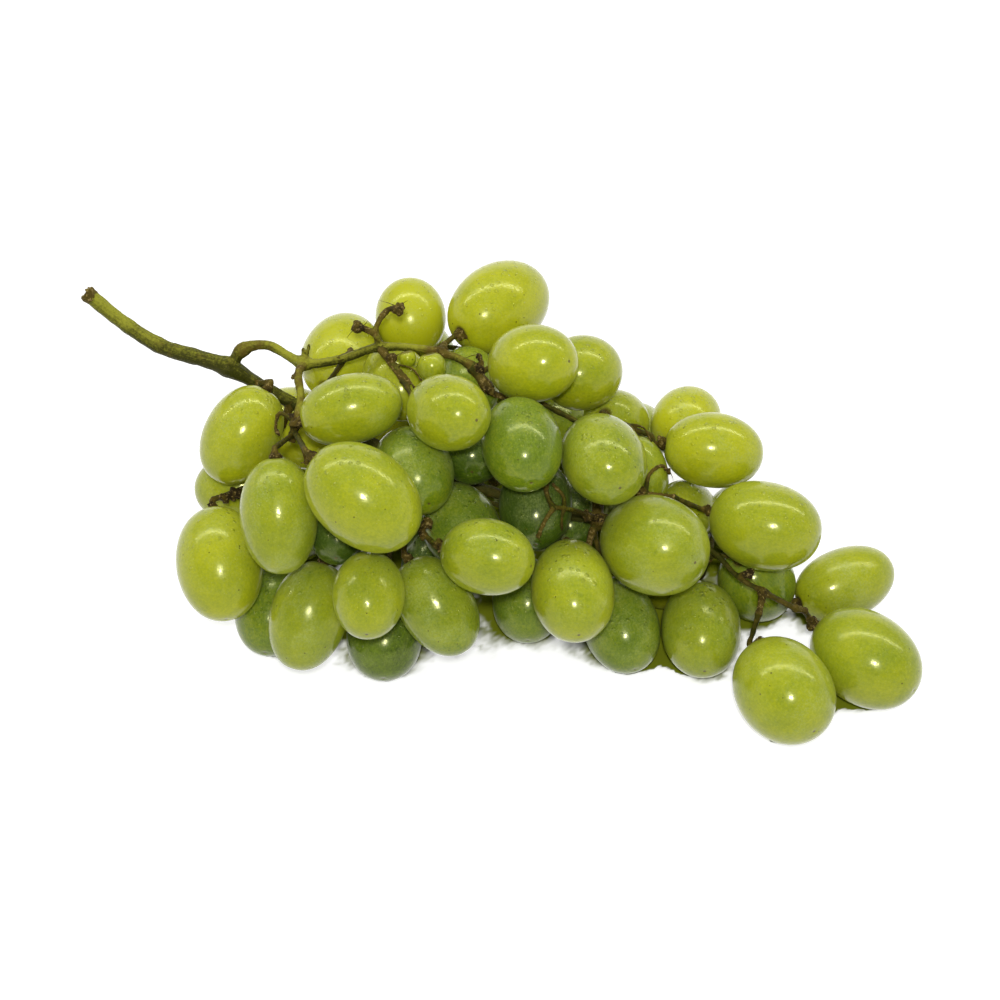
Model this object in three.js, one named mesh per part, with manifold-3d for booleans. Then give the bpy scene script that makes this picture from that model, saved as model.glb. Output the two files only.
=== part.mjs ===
// A bunch of white table grapes lying on its side: one branching woody stem and its berries.
// Millimetres, +Z up. +X runs along the bunch from the cut stalk to its tip, +Y is the far side.
import * as THREE from 'three';
import { mergeVertices } from 'three/addons/utils/BufferGeometryUtils.js';
import Module from 'manifold-3d';

// Driving dimensions.
const AIR = 0.35; // least gap between a berry and anything beside it
const PRESS = 0.35; // how far a berry that bears on the table flattens
const NEAR_TABLE = 1.2; // a berry placed lower than this above the table is set down on it
const SCAR_RADIUS = 1.6; // ring where a berry joins its stalk
const SCAR_DIMPLE = 0.12; // how far that ring's middle sinks in
const PEDICEL_RADIUS = 0.65; // thin stalk of one berry
const RECEPTACLE_RADIUS = 1.35; // swelling of that stalk against the berry
const RECEPTACLE_LENGTH = 2.4;
const COLLAR = 2.2; // straight last stretch of a stalk, in line with its berry
const SAG = 0.3; // room for a bent stalk's facets to cut its corners
const STALK_REACH = 45; // berries further than this from a stalk's root are out of its way
const BOW_SIZES = [6, 12]; // how far aside a stalk may start when the straight way is blocked

// Rounds of the two relaxations, and the share of each move that a round makes.
const SETTLING_ROUNDS = 400;
const SETTLING_EASE = 0.6;
const TIGHTENING_ROUNDS = 150;

// Facets: sides around, bands along a berry, and the step between rings along a limb.
const BERRY_SIDES = 12;
const BERRY_BANDS = 6;
const PEDICEL_SIDES = 5;
const SHOT_SIDES = 8;
const SHOT_BANDS = 6;
const BRANCH_STEP = 6;
const TWIG_STEP = 4;
const PEDICEL_STEP = 5;
const ROUTE_STEP = 2; // between the points of a route that keeps clear of berries

const BERRY_GREEN = 0xa9b234;
const STEM_OLIVE = 0x6f7029;

// The stem. Each branch leaves its parent at one of the parent's route points (0 is its start).
// radius is at its start and end, knob is the swelling of an end that has lost its berry.
// A berry is [x, y, z, length, width, heading, pitch]: its middle, and the way its tip points,
// heading in degrees from +X towards +Y, and pitch in degrees above level.
const BRANCHES = [
  {
    name: 'rachis',
    route: [
      [-103, 35, 73], [-95, 32, 66.5], [-85, 29, 60.5], [-75, 28, 57.3], [-68, 27, 55], [-60, 25, 50.5],
      [-53, 23, 47], [-45, 20, 45], [-38, 17, 43], [-28, 12, 40], [-18, 8, 38], [-7, 6, 34], [5, 4, 31],
      [16, 2, 28], [25, 1, 27], [40, -3, 27], [52, -9, 27], [59, -17, 25], [65, -20, 23], [73, -22, 19],
    ],
    radius: [1.9, 1.1],
    sides: 8,
    berries: [],
  },
  {
    name: 'shoulder',
    parent: 'rachis',
    knot: 4,
    route: [
      [-65, 30, 58.5], [-59, 31, 59.3], [-49, 25, 58.5], [-40, 25, 59.7], [-30, 27, 62], [-15, 25, 62],
      [-7, 22, 60], [-2, 19, 54], [9, 16, 54],
    ],
    radius: [1.3, 0.8],
    sides: 7,
    berries: [
      [8, 15, 67, 24, 19, -35, 30],
      [20.8, 26, 54.4, 20.6, 18.8, 35, -10],
      [5, -5, 59, 25, 19, -80, -5],
      [25, -5, 54, 26, 20, -75, 10],
    ],
  },
  {
    name: 'spur',
    parent: 'shoulder',
    knot: 3,
    route: [[-50, 19, 60], [-49, 12, 58], [-50, 6, 56], [-51, 3, 52]],
    radius: [1.1, 0.9],
    sides: 6,
    berries: [
      [-36, 4, 62, 25, 17, 10, 10],
      [-31.8, -22, 58, 29.8, 22.5, -30, -26],
      [-52.8, -17.2, 46.8, 27.8, 18.4, -85, -45],
    ],
  },
  {
    name: 'elbow',
    parent: 'rachis',
    knot: 5,
    route: [[-60.3, 23, 53.5]],
    radius: [0.9, 0.8],
    sides: 6,
    berries: [
      [-64.7, 12, 46, 26, 18.8, -130, -40],
    ],
  },
  {
    name: 'heel',
    parent: 'shoulder',
    knot: 4,
    route: [[-38, 29, 58], [-38, 33, 56]],
    radius: [0.9, 0.8],
    sides: 6,
    berries: [
      [-40.6, 41.5, 46.5, 27, 20.3, 75, -5],
    ],
  },
  {
    name: 'inner',
    parent: 'shoulder',
    knot: 5,
    route: [[-27, 22, 61], [-24, 17, 60]],
    radius: [1.0, 0.8],
    sides: 6,
    berries: [
      [-12, -3, 67, 23, 18, -50, 25],
      [-26, 26, 51, 21, 17, -65, -10],
    ],
  },
  {
    name: 'crest',
    parent: 'shoulder',
    knot: 6,
    route: [[-14, 29, 61], [-15, 34, 56]],
    radius: [0.9, 0.8],
    sides: 6,
    berries: [
      [-0.3, 50.4, 55.7, 31, 22.2, 50, -5],
      [-24.3, 52, 50.2, 21, 18.4, 95, 30],
      [-8, 28, 49, 21, 16, -85, 0],
    ],
  },
  {
    name: 'heel_low',
    parent: 'rachis',
    knot: 6,
    route: [[-57, 18, 39], [-60, 10, 32]],
    radius: [1.1, 0.8],
    sides: 6,
    berries: [
      [-69.4, -14.2, 27, 29, 21.3, -80, -25],
      [-67, 14, 25, 22, 17, 180, -10],
    ],
  },
  {
    name: 'front_left',
    parent: 'rachis',
    knot: 8,
    route: [[-41, 8, 37], [-43, 2, 32], [-46, 2, 22]],
    radius: [1.1, 0.8],
    sides: 6,
    berries: [
      [-39.7, -13, 37.4, 18.4, 14, -90, 0],
      [-47, -25.6, 20.3, 27, 19, -110, -40],
      [-58, -13.1, 9, 25, 19, -95, -15],
      [-57, 15, 11, 26, 20, 170, -20],
    ],
  },
  {
    name: 'back_left',
    parent: 'rachis',
    knot: 8,
    route: [[-38, 26, 35], [-38, 34, 23]],
    radius: [1.1, 0.8],
    sides: 6,
    berries: [
      [-52, 30, 32, 26, 20, 140, 0],
      [-55, 46, 10, 26, 20, 150, -10],
      [-30, 58, 10, 26, 20, 100, -10],
    ],
  },
  {
    name: 'front_mid',
    parent: 'rachis',
    knot: 9,
    route: [[-27, 0, 37], [-25, -9, 37], [-21, -14, 41]],
    radius: [1.1, 0.8],
    sides: 6,
    berries: [
      [-21, -5, 50, 24, 19, -70, 0],
      [-31, -32, 35, 22, 17, -90, -10],
      [-15.2, -26.8, 26.3, 26, 18, -50, -35],
      [-3, -27, 43, 23, 18, -25, 10],
      [-29, -22.4, 9, 23, 19, -90, -20],
    ],
  },
  {
    name: 'back_mid',
    parent: 'rachis',
    knot: 11,
    route: [[-8, 20, 34], [-11, 33, 30]],
    radius: [1.1, 0.8],
    sides: 6,
    berries: [
      [-7, 8, 45, 21, 16, -90, 10],
      [-22, 57, 32, 26, 20, 100, 5],
      [-28, 22, 12, 26, 20, 100, -50],
      [0, 29, 12, 26, 20, 80, -50],
      [-8, 60, 10, 26, 20, 80, -10],
    ],
  },
  {
    name: 'centre',
    parent: 'rachis',
    knot: 12,
    route: [[5, 2, 27], [5, 1, 22]],
    radius: [0.9, 0.7],
    sides: 6,
    berries: [
      [-10, -9, 34, 25, 19, -65, -5],
      [9, -6, 39, 24, 18, -90, -10],
      [7, -10, 9, 22, 18, -90, -20],
      [-16, -3, 13, 23, 19, -90, -30],
    ],
  },
  {
    name: 'back_right',
    parent: 'rachis',
    knot: 12,
    route: [[6, 20, 31], [5, 35, 26]],
    radius: [1.1, 0.8],
    sides: 6,
    berries: [
      [6, 56, 30, 26, 20, 80, 5],
      [15, 57, 10, 26, 20, 70, -10],
    ],
  },
  {
    name: 'front_right',
    parent: 'rachis',
    knot: 14,
    route: [[23, -4, 27], [22, -9, 26]],
    radius: [1.1, 0.8],
    sides: 6,
    berries: [
      [18, -26, 31, 27, 20, -85, -5],
      [37, -17, 36, 29, 24, -50, 20],
      [31, -19, 9, 25, 19, -75, -15],
    ],
  },
  {
    name: 'upper_right',
    parent: 'rachis',
    knot: 14,
    route: [[24, 6, 34], [27, 13, 40], [31, 17, 45]],
    radius: [1.2, 0.8],
    sides: 6,
    berries: [
      [54, 14, 39, 25, 19, -5, -5],
      [48.8, 31, 32.6, 21, 17.6, 60, -5],
      [30, 28, 35.5, 21, 17, 60, -50],
      [35, 9, 35, 20, 15, -70, -60],
    ],
  },
  {
    name: 'lower_right',
    parent: 'rachis',
    knot: 14,
    route: [[26, 10, 28], [27, 19, 27]],
    radius: [1.0, 0.8],
    sides: 6,
    berries: [
      [18, 9, 20, 21, 16, -90, 0],
      [31, 24, 12, 26, 19, 60, -50],
      [36, 49, 11, 26, 20, 60, -30],
    ],
  },
  {
    name: 'long_stalk',
    parent: 'upper_right',
    knot: 1,
    route: [[29, 0, 38], [36, -2, 39], [43, 0, 36]],
    radius: [0.9, 0.7],
    sides: 6,
    berries: [
      [65.2, -7, 32, 28, 22, -25, 5],
      [48, 10, 21, 20, 16, 60, -50],
    ],
  },
  {
    name: 'under_right',
    parent: 'rachis',
    knot: 16,
    route: [[52, -7, 23], [53, -6, 20]],
    radius: [0.9, 0.7],
    sides: 6,
    berries: [
      [42, -1, 10, 21, 16, 90, -70],
      [52, -19.3, 10, 26, 20, -90, -5],
      [65, -6.5, 9.7, 22, 19.5, 15, -60],
      [65, 19, 10, 24, 19, 45, -20],
    ],
  },
  {
    name: 'tip_low',
    parent: 'rachis',
    knot: 18,
    route: [[64, -24, 20]],
    radius: [0.9, 0.8],
    sides: 6,
    berries: [
      [70.4, -41, 12, 28.2, 23.4, -65, 0],
    ],
  },
  {
    name: 'tip',
    parent: 'rachis',
    knot: 19,
    route: [[76, -20, 16]],
    radius: [0.9, 0.8],
    sides: 6,
    berries: [
      [88, -4, 9, 27, 18.3, 24, 5],
      [89, -32.2, 11, 29.2, 22.8, -45, 0],
    ],
  },
];

// Short twigs whose berries are gone.
const BARE_TWIGS = [
  {
    parent: 'shoulder',
    knot: 5,
    route: [[-31, 28, 65], [-35, 29, 67]],
    radius: [0.9, 0.9],
    knob: 1.9,
  },
  {
    parent: 'shoulder',
    knot: 5,
    route: [[-31, 29, 66], [-28, 33, 69], [-25, 34, 69]],
    radius: [0.9, 0.8],
    knob: 1.9,
  },
  {
    parent: 'shoulder',
    knot: 3,
    route: [[-48, 27, 64]],
    radius: [0.9, 0.5],
    knob: 0.8,
  },
  {
    parent: 'rachis',
    knot: 5,
    route: [[-60, 24, 54]],
    radius: [0.9, 0.6],
    knob: 0.8,
  },
  {
    parent: 'spur',
    knot: 3,
    route: [[-48, 6, 56], [-46, 6, 57]],
    radius: [0.6, 0.5],
    knob: 0.9,
  },
  {
    parent: 'spur',
    knot: 3,
    route: [[-54, 8, 57], [-55, 6, 54]],
    radius: [0.5, 0.5],
    knob: 0.6,
  },
  {
    parent: 'rachis',
    knot: 14,
    route: [
      [21.5, -4.5, 34.4], [17.6, -10.4, 42], [15.5, -12.2, 44.3],
      [13, -14.2, 46.2], [10.6, -17, 44.4], [9.3, -18.8, 41.6],
    ],
    radius: [0.7, 0.6],
    knob: 1.0,
  },
  {
    parent: 'long_stalk',
    knot: 2,
    route: [[37, 1, 43], [40, 3, 44], [42, 3, 42]],
    radius: [0.8, 0.6],
    knob: 0.9,
  },
  {
    parent: 'rachis',
    knot: 17,
    route: [[60, -18, 28]],
    radius: [0.8, 0.8],
    knob: 1.3,
  },
];

// Berries that never swelled, stuck to the shoulder: middle and radius.
const SHOT_BERRIES = [
  { at: [-17, 22, 60], radius: 3.5 },
  { at: [-23, 24, 61], radius: 2.1 },
];

const wasm = await Module();
wasm.setup();

// ---- geometry helpers ----

// Indexed geometry with shared corners and no zero-area triangles.
function welded(geometry) {
  geometry.deleteAttribute('normal');
  geometry.deleteAttribute('uv');
  const merged = mergeVertices(geometry, 1e-5);
  const kept = [];
  for (let i = 0; i < merged.index.count; i += 3) {
    const [a, b, c] = [0, 1, 2].map((k) => merged.index.getX(i + k));
    if (a !== b && b !== c && c !== a) kept.push(a, b, c);
  }
  merged.setIndex(kept);
  return merged;
}

function solid(geometry) {
  const mesh = new wasm.Mesh({
    numProp: 3,
    vertProperties: new Float32Array(geometry.attributes.position.array),
    triVerts: new Uint32Array(geometry.index.array),
  });
  return new wasm.Manifold(mesh);
}

function geometryOf(manifold) {
  const mesh = manifold.getMesh();
  const geometry = new THREE.BufferGeometry();
  geometry.setAttribute('position', new THREE.BufferAttribute(mesh.vertProperties, 3));
  geometry.setIndex(new THREE.BufferAttribute(mesh.triVerts, 1));
  return geometry;
}

// A round limb: rings of the given radii around the curve at the given shares of its length.
function limb(curve, shares, radii, sides) {
  const positions = [];
  const index = [];
  const across = new THREE.Vector3(0, 0, 1);
  shares.forEach((share, ring) => {
    const centre = curve.getPointAt(share);
    const along = curve.getTangentAt(share);
    across.addScaledVector(along, -across.dot(along)).normalize();
    const third = new THREE.Vector3().crossVectors(along, across);
    for (let side = 0; side < sides; side += 1) {
      const turn = (2 * Math.PI * side) / sides;
      const point = centre.clone();
      point.addScaledVector(across, radii[ring] * Math.cos(turn));
      point.addScaledVector(third, radii[ring] * Math.sin(turn));
      positions.push(point.x, point.y, point.z);
    }
    if (ring === 0) return;
    for (let side = 0; side < sides; side += 1) {
      const next = (side + 1) % sides;
      const low = (ring - 1) * sides;
      const high = ring * sides;
      index.push(low + side, low + next, high + next, low + side, high + next, high + side);
    }
  });
  const last = (shares.length - 1) * sides;
  for (let side = 1; side < sides - 1; side += 1) {
    index.push(0, side + 1, side, last, last + side, last + side + 1);
  }
  const geometry = new THREE.BufferGeometry();
  geometry.setAttribute('position', new THREE.Float32BufferAttribute(positions, 3));
  geometry.setIndex(index);
  return geometry;
}

function curveThrough(points) {
  return new THREE.CatmullRomCurve3(points, false, 'centripetal');
}

// ---- the berries as spheroids, and how they lie against each other ----

function makeBerry(branch, place) {
  const [x, y, z, length, width, heading, pitch] = place;
  const turn = THREE.MathUtils.degToRad(heading);
  const lift = THREE.MathUtils.degToRad(pitch);
  const axis = new THREE.Vector3(
    Math.cos(turn) * Math.cos(lift),
    Math.sin(turn) * Math.cos(lift),
    Math.sin(lift),
  );
  const berry = { branch, centre: new THREE.Vector3(x, y, z), axis, half: length / 2, radius: width / 2 };
  // A spheroid is the hull of spheres along its axis: centres t, radii r.
  const spread = berry.half - (berry.radius * berry.radius) / berry.half;
  const focal = berry.half * berry.half - berry.radius * berry.radius;
  berry.spheres = [-1, -0.75, -0.5, -0.25, 0, 0.25, 0.5, 0.75, 1].map((step) => {
    const t = step * spread;
    return { t, r: berry.radius * Math.sqrt(1 - (t * t) / focal) };
  });
  return berry;
}

function placeSpheres(berry) {
  for (const sphere of berry.spheres) {
    sphere.at = berry.centre.clone().addScaledVector(berry.axis, sphere.t);
  }
}

// The closest pair of inner spheres gives the gap between two berries and its direction.
function gapBetween(one, other) {
  let best = { gap: Infinity };
  for (const a of one.spheres) {
    for (const b of other.spheres) {
      const gap = a.at.distanceTo(b.at) - a.r - b.r;
      if (gap < best.gap) best = { gap, from: a.at, to: b.at };
    }
  }
  return best;
}

function gapToPoint(berry, point) {
  let best = { gap: Infinity };
  for (const a of berry.spheres) {
    const gap = a.at.distanceTo(point) - a.r;
    if (gap < best.gap) best = { gap, from: a.at };
  }
  return best;
}

function lowest(berry) {
  const { half, radius, axis } = berry;
  return berry.centre.z - Math.sqrt(radius * radius + (half * half - radius * radius) * axis.z * axis.z);
}

// Berries give way to each other, to the branches and to the table until none overlap.
function settle(berries, wood) {
  const bearing = berries.filter((berry) => lowest(berry) < NEAR_TABLE);
  for (let round = 0; round < SETTLING_ROUNDS; round += 1) {
    for (const berry of bearing) berry.centre.z -= lowest(berry) + PRESS;
    berries.forEach(placeSpheres);
    const moves = berries.map(() => new THREE.Vector3());
    berries.forEach((one, i) => {
      for (let j = i + 1; j < berries.length; j += 1) {
        const reach = one.half + berries[j].half + AIR;
        if (one.centre.distanceTo(berries[j].centre) > reach) continue;
        const { gap, from, to } = gapBetween(one, berries[j]);
        if (gap >= AIR) continue;
        const push = to.clone().sub(from).setLength((AIR - gap) / 2);
        moves[i].sub(push);
        moves[j].add(push);
      }
      for (const { point, radius } of wood) {
        if (one.centre.distanceTo(point) > one.half + radius + AIR) continue;
        const { gap, from } = gapToPoint(one, point);
        const short = radius + AIR - gap;
        if (short > 0) moves[i].add(from.clone().sub(point).setLength(short));
      }
    });
    berries.forEach((berry, i) => {
      berry.centre.addScaledVector(moves[i], SETTLING_EASE);
      berry.centre.z += Math.max(0, -PRESS - lowest(berry));
    });
  }
  for (const berry of bearing) berry.centre.z -= lowest(berry) + PRESS;
  berries.forEach(placeSpheres);
}

// ---- the stem ----

const branchByName = new Map(BRANCHES.map((branch) => [branch.name, branch]));

function routeOf(branch) {
  const own = branch.route.map((at) => new THREE.Vector3(...at));
  if (!branch.parent) return own;
  const parent = routeOf(branchByName.get(branch.parent));
  return [parent[branch.knot], ...own];
}

// Points along every branch, which berries keep clear of.
function woodPoints() {
  const wood = [];
  for (const branch of BRANCHES) {
    const curve = curveThrough(routeOf(branch));
    const count = Math.ceil(curve.getLength() / ROUTE_STEP);
    for (let i = 0; i <= count; i += 1) {
      const radius = THREE.MathUtils.lerp(...branch.radius, i / count);
      wood.push({ point: curve.getPointAt(i / count), radius });
    }
  }
  return wood;
}

// Where the stalk meets a berry: just off its scar.
function scarPoint(berry) {
  const depth = berry.half * Math.sqrt(1 - (SCAR_RADIUS / berry.radius) ** 2);
  return berry.centre.clone().addScaledVector(berry.axis, -(depth + AIR));
}

// Bows that a stalk may start from: none, then sideways in eight directions.
function bowsAcross(start, end) {
  const along = end.clone().sub(start).normalize();
  const side = new THREE.Vector3(along.y, -along.x, 0.01).normalize();
  const bows = [new THREE.Vector3()];
  for (const size of BOW_SIZES) {
    for (let eighth = 0; eighth < 8; eighth += 1) {
      const turn = (eighth * Math.PI) / 4;
      bows.push(side.clone().applyAxisAngle(along, turn).multiplyScalar(size));
    }
  }
  return bows;
}

// A line of points between two ends, smoothed and pushed out of the berries many times over.
function tighten(start, end, bow, near, keep) {
  const count = Math.max(4, Math.round(start.distanceTo(end) / ROUTE_STEP));
  const points = [];
  for (let i = 0; i <= count; i += 1) {
    const share = i / count;
    points.push(start.clone().lerp(end, share).addScaledVector(bow, Math.sin(Math.PI * share)));
  }
  let tightest = 0;
  for (let round = 0; round < TIGHTENING_ROUNDS; round += 1) {
    for (let i = 1; i < count; i += 1) {
      const middle = points[i - 1].clone().add(points[i + 1]).multiplyScalar(0.5);
      points[i].lerp(middle, 0.5);
    }
    tightest = 0;
    for (let i = 1; i < count; i += 1) {
      for (const other of near) {
        const { gap, from } = gapToPoint(other, points[i]);
        tightest = Math.max(tightest, keep - gap);
        if (gap < keep) points[i].add(points[i].clone().sub(from).setLength(keep - gap));
      }
    }
  }
  return { points, tightest };
}

// A berry's own stalk, from its branch to its scar. It takes the first bow that leaves it room
// to pass between the berries, or else the roomiest.
function stalkPath(start, berry, berries) {
  const end = scarPoint(berry);
  const collar = end.clone().addScaledVector(berry.axis, -COLLAR);
  const keep = PEDICEL_RADIUS + AIR + SAG;
  const near = berries.filter((other) => other.centre.distanceTo(start) < STALK_REACH);
  let best = null;
  for (const bow of bowsAcross(start, collar)) {
    const path = tighten(start, collar, bow, near, keep);
    if (!best || path.tightest < best.tightest) best = path;
    if (best.tightest < SAG) break;
  }
  return [...best.points, end];
}

// Shares of a limb's length for its rings, closer together over a swollen end.
function ringShares(length, spacing, swollen) {
  const even = Math.max(2, Math.round((length - swollen) / spacing));
  const shares = [];
  for (let i = 0; i <= even; i += 1) shares.push(((i / even) * (length - swollen)) / length);
  if (swollen > 0) shares.push(1 - (0.45 * swollen) / length, 1);
  return shares;
}

function branchSolid(branch) {
  const curve = curveThrough(routeOf(branch));
  const shares = ringShares(curve.getLength(), BRANCH_STEP, 0);
  const radii = shares.map((share) => THREE.MathUtils.lerp(...branch.radius, share));
  return solid(limb(curve, shares, radii, branch.sides));
}

function twigSolid(twig) {
  const curve = curveThrough(routeOf(twig));
  const length = curve.getLength();
  const shares = ringShares(length, TWIG_STEP, Math.min(RECEPTACLE_LENGTH, length / 2));
  const radii = shares.map((share) => THREE.MathUtils.lerp(...twig.radius, share));
  radii.splice(-2, 2, twig.knob, twig.knob * 0.7);
  return solid(limb(curve, shares, radii, PEDICEL_SIDES));
}

function pedicelSolid(points) {
  const curve = curveThrough(points);
  const shares = ringShares(curve.getLength(), PEDICEL_STEP, RECEPTACLE_LENGTH);
  const radii = shares.map(() => PEDICEL_RADIUS);
  radii.splice(-2, 2, RECEPTACLE_RADIUS, RECEPTACLE_RADIUS);
  return solid(limb(curve, shares, radii, PEDICEL_SIDES));
}

// The place on a branch, past its first third, nearest to where a berry's stalk sets out.
function springingPoint(branch, berry) {
  const curve = curveThrough(routeOf(branch));
  const goal = scarPoint(berry).addScaledVector(berry.axis, -2 * COLLAR);
  let best = null;
  for (const share of [0.35, 0.45, 0.55, 0.65, 0.75, 0.85, 0.95, 0.99]) {
    const point = curve.getPointAt(share);
    if (!best || point.distanceTo(goal) < best.distanceTo(goal)) best = point;
  }
  return best;
}

function stemGeometry(berries) {
  let stem = branchSolid(BRANCHES[0]);
  for (const branch of BRANCHES.slice(1)) stem = stem.add(branchSolid(branch));
  for (const twig of BARE_TWIGS) stem = stem.add(twigSolid(twig));
  for (const berry of berries) {
    berry.stalk = stalkPath(springingPoint(berry.branch, berry), berry, berries);
    stem = stem.add(pedicelSolid(berry.stalk));
  }
  for (const shot of SHOT_BERRIES) {
    const ball = new THREE.SphereGeometry(shot.radius, SHOT_SIDES, SHOT_BANDS);
    ball.translate(...shot.at);
    stem = stem.add(solid(welded(ball)));
  }
  return geometryOf(stem);
}

// ---- one berry's mesh ----

function berryGeometry(berry) {
  const start = Math.asin(SCAR_RADIUS / berry.radius);
  const depth = -berry.half * Math.cos(start);
  const profile = [new THREE.Vector2(0, depth + SCAR_DIMPLE)];
  for (let band = 0; band < BERRY_BANDS; band += 1) {
    const angle = THREE.MathUtils.lerp(start, Math.PI, band / BERRY_BANDS);
    profile.push(new THREE.Vector2(berry.radius * Math.sin(angle), -berry.half * Math.cos(angle)));
  }
  profile.push(new THREE.Vector2(0, berry.half));
  const geometry = new THREE.LatheGeometry(profile, BERRY_SIDES);
  const upright = new THREE.Vector3(0, 1, 0);
  geometry.applyQuaternion(new THREE.Quaternion().setFromUnitVectors(upright, berry.axis));
  geometry.translate(...berry.centre);
  return welded(geometry);
}

// A berry that bears on the table is set down on it and has a small flat where it rests.
function restOnTable(geometry, berry) {
  if (lowest(berry) > 0) return geometry;
  geometry.computeBoundingBox();
  geometry.translate(0, 0, -PRESS - geometry.boundingBox.min.z);
  const room = 400;
  const above = new THREE.BoxGeometry(room, room, room);
  above.translate(0, 0, room / 2);
  return geometryOf(solid(geometry).intersect(solid(welded(above))));
}

// ---- the bunch ----

const berries = BRANCHES.flatMap((branch) => branch.berries.map((place) => makeBerry(branch, place)));
settle(berries, woodPoints());

const bunch = new THREE.Group();
const stemWood = new THREE.MeshStandardMaterial({ color: STEM_OLIVE, roughness: 0.7, metalness: 0 });
const stem = new THREE.Mesh(stemGeometry(berries), stemWood);
stem.name = 'stem';
bunch.add(stem);

const counts = new Map();
for (const berry of berries) {
  const number = (counts.get(berry.branch.name) ?? 0) + 1;
  counts.set(berry.branch.name, number);
  const skin = new THREE.MeshStandardMaterial({ color: BERRY_GREEN, roughness: 0.25, metalness: 0 });
  const mesh = new THREE.Mesh(restOnTable(berryGeometry(berry), berry), skin);
  mesh.name = `berry_${berry.branch.name}_${number}`;
  bunch.add(mesh);
}

// The origin is the middle of the bunch's footprint, on the table.
const box = new THREE.Box3().setFromObject(bunch);
const middle = box.getCenter(new THREE.Vector3());
bunch.position.set(-middle.x, -middle.y, -box.min.z);

export default bunch;
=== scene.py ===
import math

import bpy
import numpy as np
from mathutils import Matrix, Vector


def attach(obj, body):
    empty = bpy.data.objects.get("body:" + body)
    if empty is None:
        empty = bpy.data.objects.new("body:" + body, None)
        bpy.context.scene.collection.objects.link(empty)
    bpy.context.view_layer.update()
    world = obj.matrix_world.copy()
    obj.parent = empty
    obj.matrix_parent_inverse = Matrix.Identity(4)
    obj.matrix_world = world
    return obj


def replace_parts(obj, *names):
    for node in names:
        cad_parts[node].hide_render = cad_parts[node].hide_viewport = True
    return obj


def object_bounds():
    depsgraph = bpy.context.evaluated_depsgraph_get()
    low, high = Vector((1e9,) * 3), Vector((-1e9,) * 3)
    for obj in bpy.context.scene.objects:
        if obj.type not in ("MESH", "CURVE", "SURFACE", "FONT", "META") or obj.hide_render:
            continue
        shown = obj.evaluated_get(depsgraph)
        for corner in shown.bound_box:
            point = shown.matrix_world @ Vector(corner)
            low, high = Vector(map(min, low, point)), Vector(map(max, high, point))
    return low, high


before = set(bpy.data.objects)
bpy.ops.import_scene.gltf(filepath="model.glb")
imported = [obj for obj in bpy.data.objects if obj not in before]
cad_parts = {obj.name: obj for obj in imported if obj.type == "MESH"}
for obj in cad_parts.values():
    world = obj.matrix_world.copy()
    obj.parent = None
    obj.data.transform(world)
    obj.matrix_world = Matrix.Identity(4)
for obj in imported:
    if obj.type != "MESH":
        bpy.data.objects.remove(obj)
cad_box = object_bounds()


# ---------------------------------------------------------------------------------------------
# The view: from above the near side, 45 degrees down, as one looks at fruit lying on a table.
# It is made first, because everything else is judged through it.

MM = 0.001
BUNCH_ORIGIN = np.array([0.46, -8.63, 0.0])  # mm: a point on the table near the bunch's middle
VIEW_LENS = 70
VIEW_SENSOR = 36
VIEW_TILT = math.radians(45)
VIEW_DISTANCE = 486 * MM
VIEW_HEIGHT = 35 * MM  # how far over the table the view is aimed

low, high = (np.array(corner) for corner in cad_box)
view_middle = (low + high) / 2 + BUNCH_ORIGIN * MM
view_middle[2] = VIEW_HEIGHT
toward_eye = np.array([0, -math.cos(VIEW_TILT), math.sin(VIEW_TILT)])

camera = bpy.data.objects.new("camera", bpy.data.cameras.new("camera"))
camera.data.lens = VIEW_LENS
camera.data.sensor_width = VIEW_SENSOR
camera.data.clip_start = 10 * MM
camera.location = view_middle + toward_eye * VIEW_DISTANCE
camera.rotation_euler = (math.pi / 2 - VIEW_TILT, 0, 0)
bpy.context.scene.collection.objects.link(camera)
bpy.context.scene.camera = camera
bpy.context.scene.view_settings.view_transform = "Standard"


# ---------------------------------------------------------------------------------------------
# The berries: firm oval bags of clear flesh in a thin glossy skin, each hung by its stalk end.
# Those that bear on the table are dented flat where they rest. Each hangs where the frame has it.

SCAR_RADIUS = 1.6 * MM  # ring where the berry joins its stalk, as in the frame
SCAR_DIMPLE = 0.12 * MM
SKIN_AROUND = 64
SKIN_ROWS = 47
SKIN_SWELL = 0.10 * MM  # the skin stands this far outside the frame's facets
FULLNESS = 0.93  # below 1 the ends are blunter than a spheroid's
ROW_CROWDING = 0.3  # how much closer together the rows lie at both ends
STALK_DIMPLE, STALK_DIMPLE_WIDTH = 0.45 * MM, 1.5 * MM
TIP_DIMPLE, TIP_DIMPLE_WIDTH = 0.16 * MM, 0.8 * MM
EGG, OVAL, THREE_SIDED, BOWED = 0.022, 0.014, 0.009, 0.012  # how far out of round, as shares
TABLE_CREASE = 0.12 * MM  # how softly the skin turns where it meets the table

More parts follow.
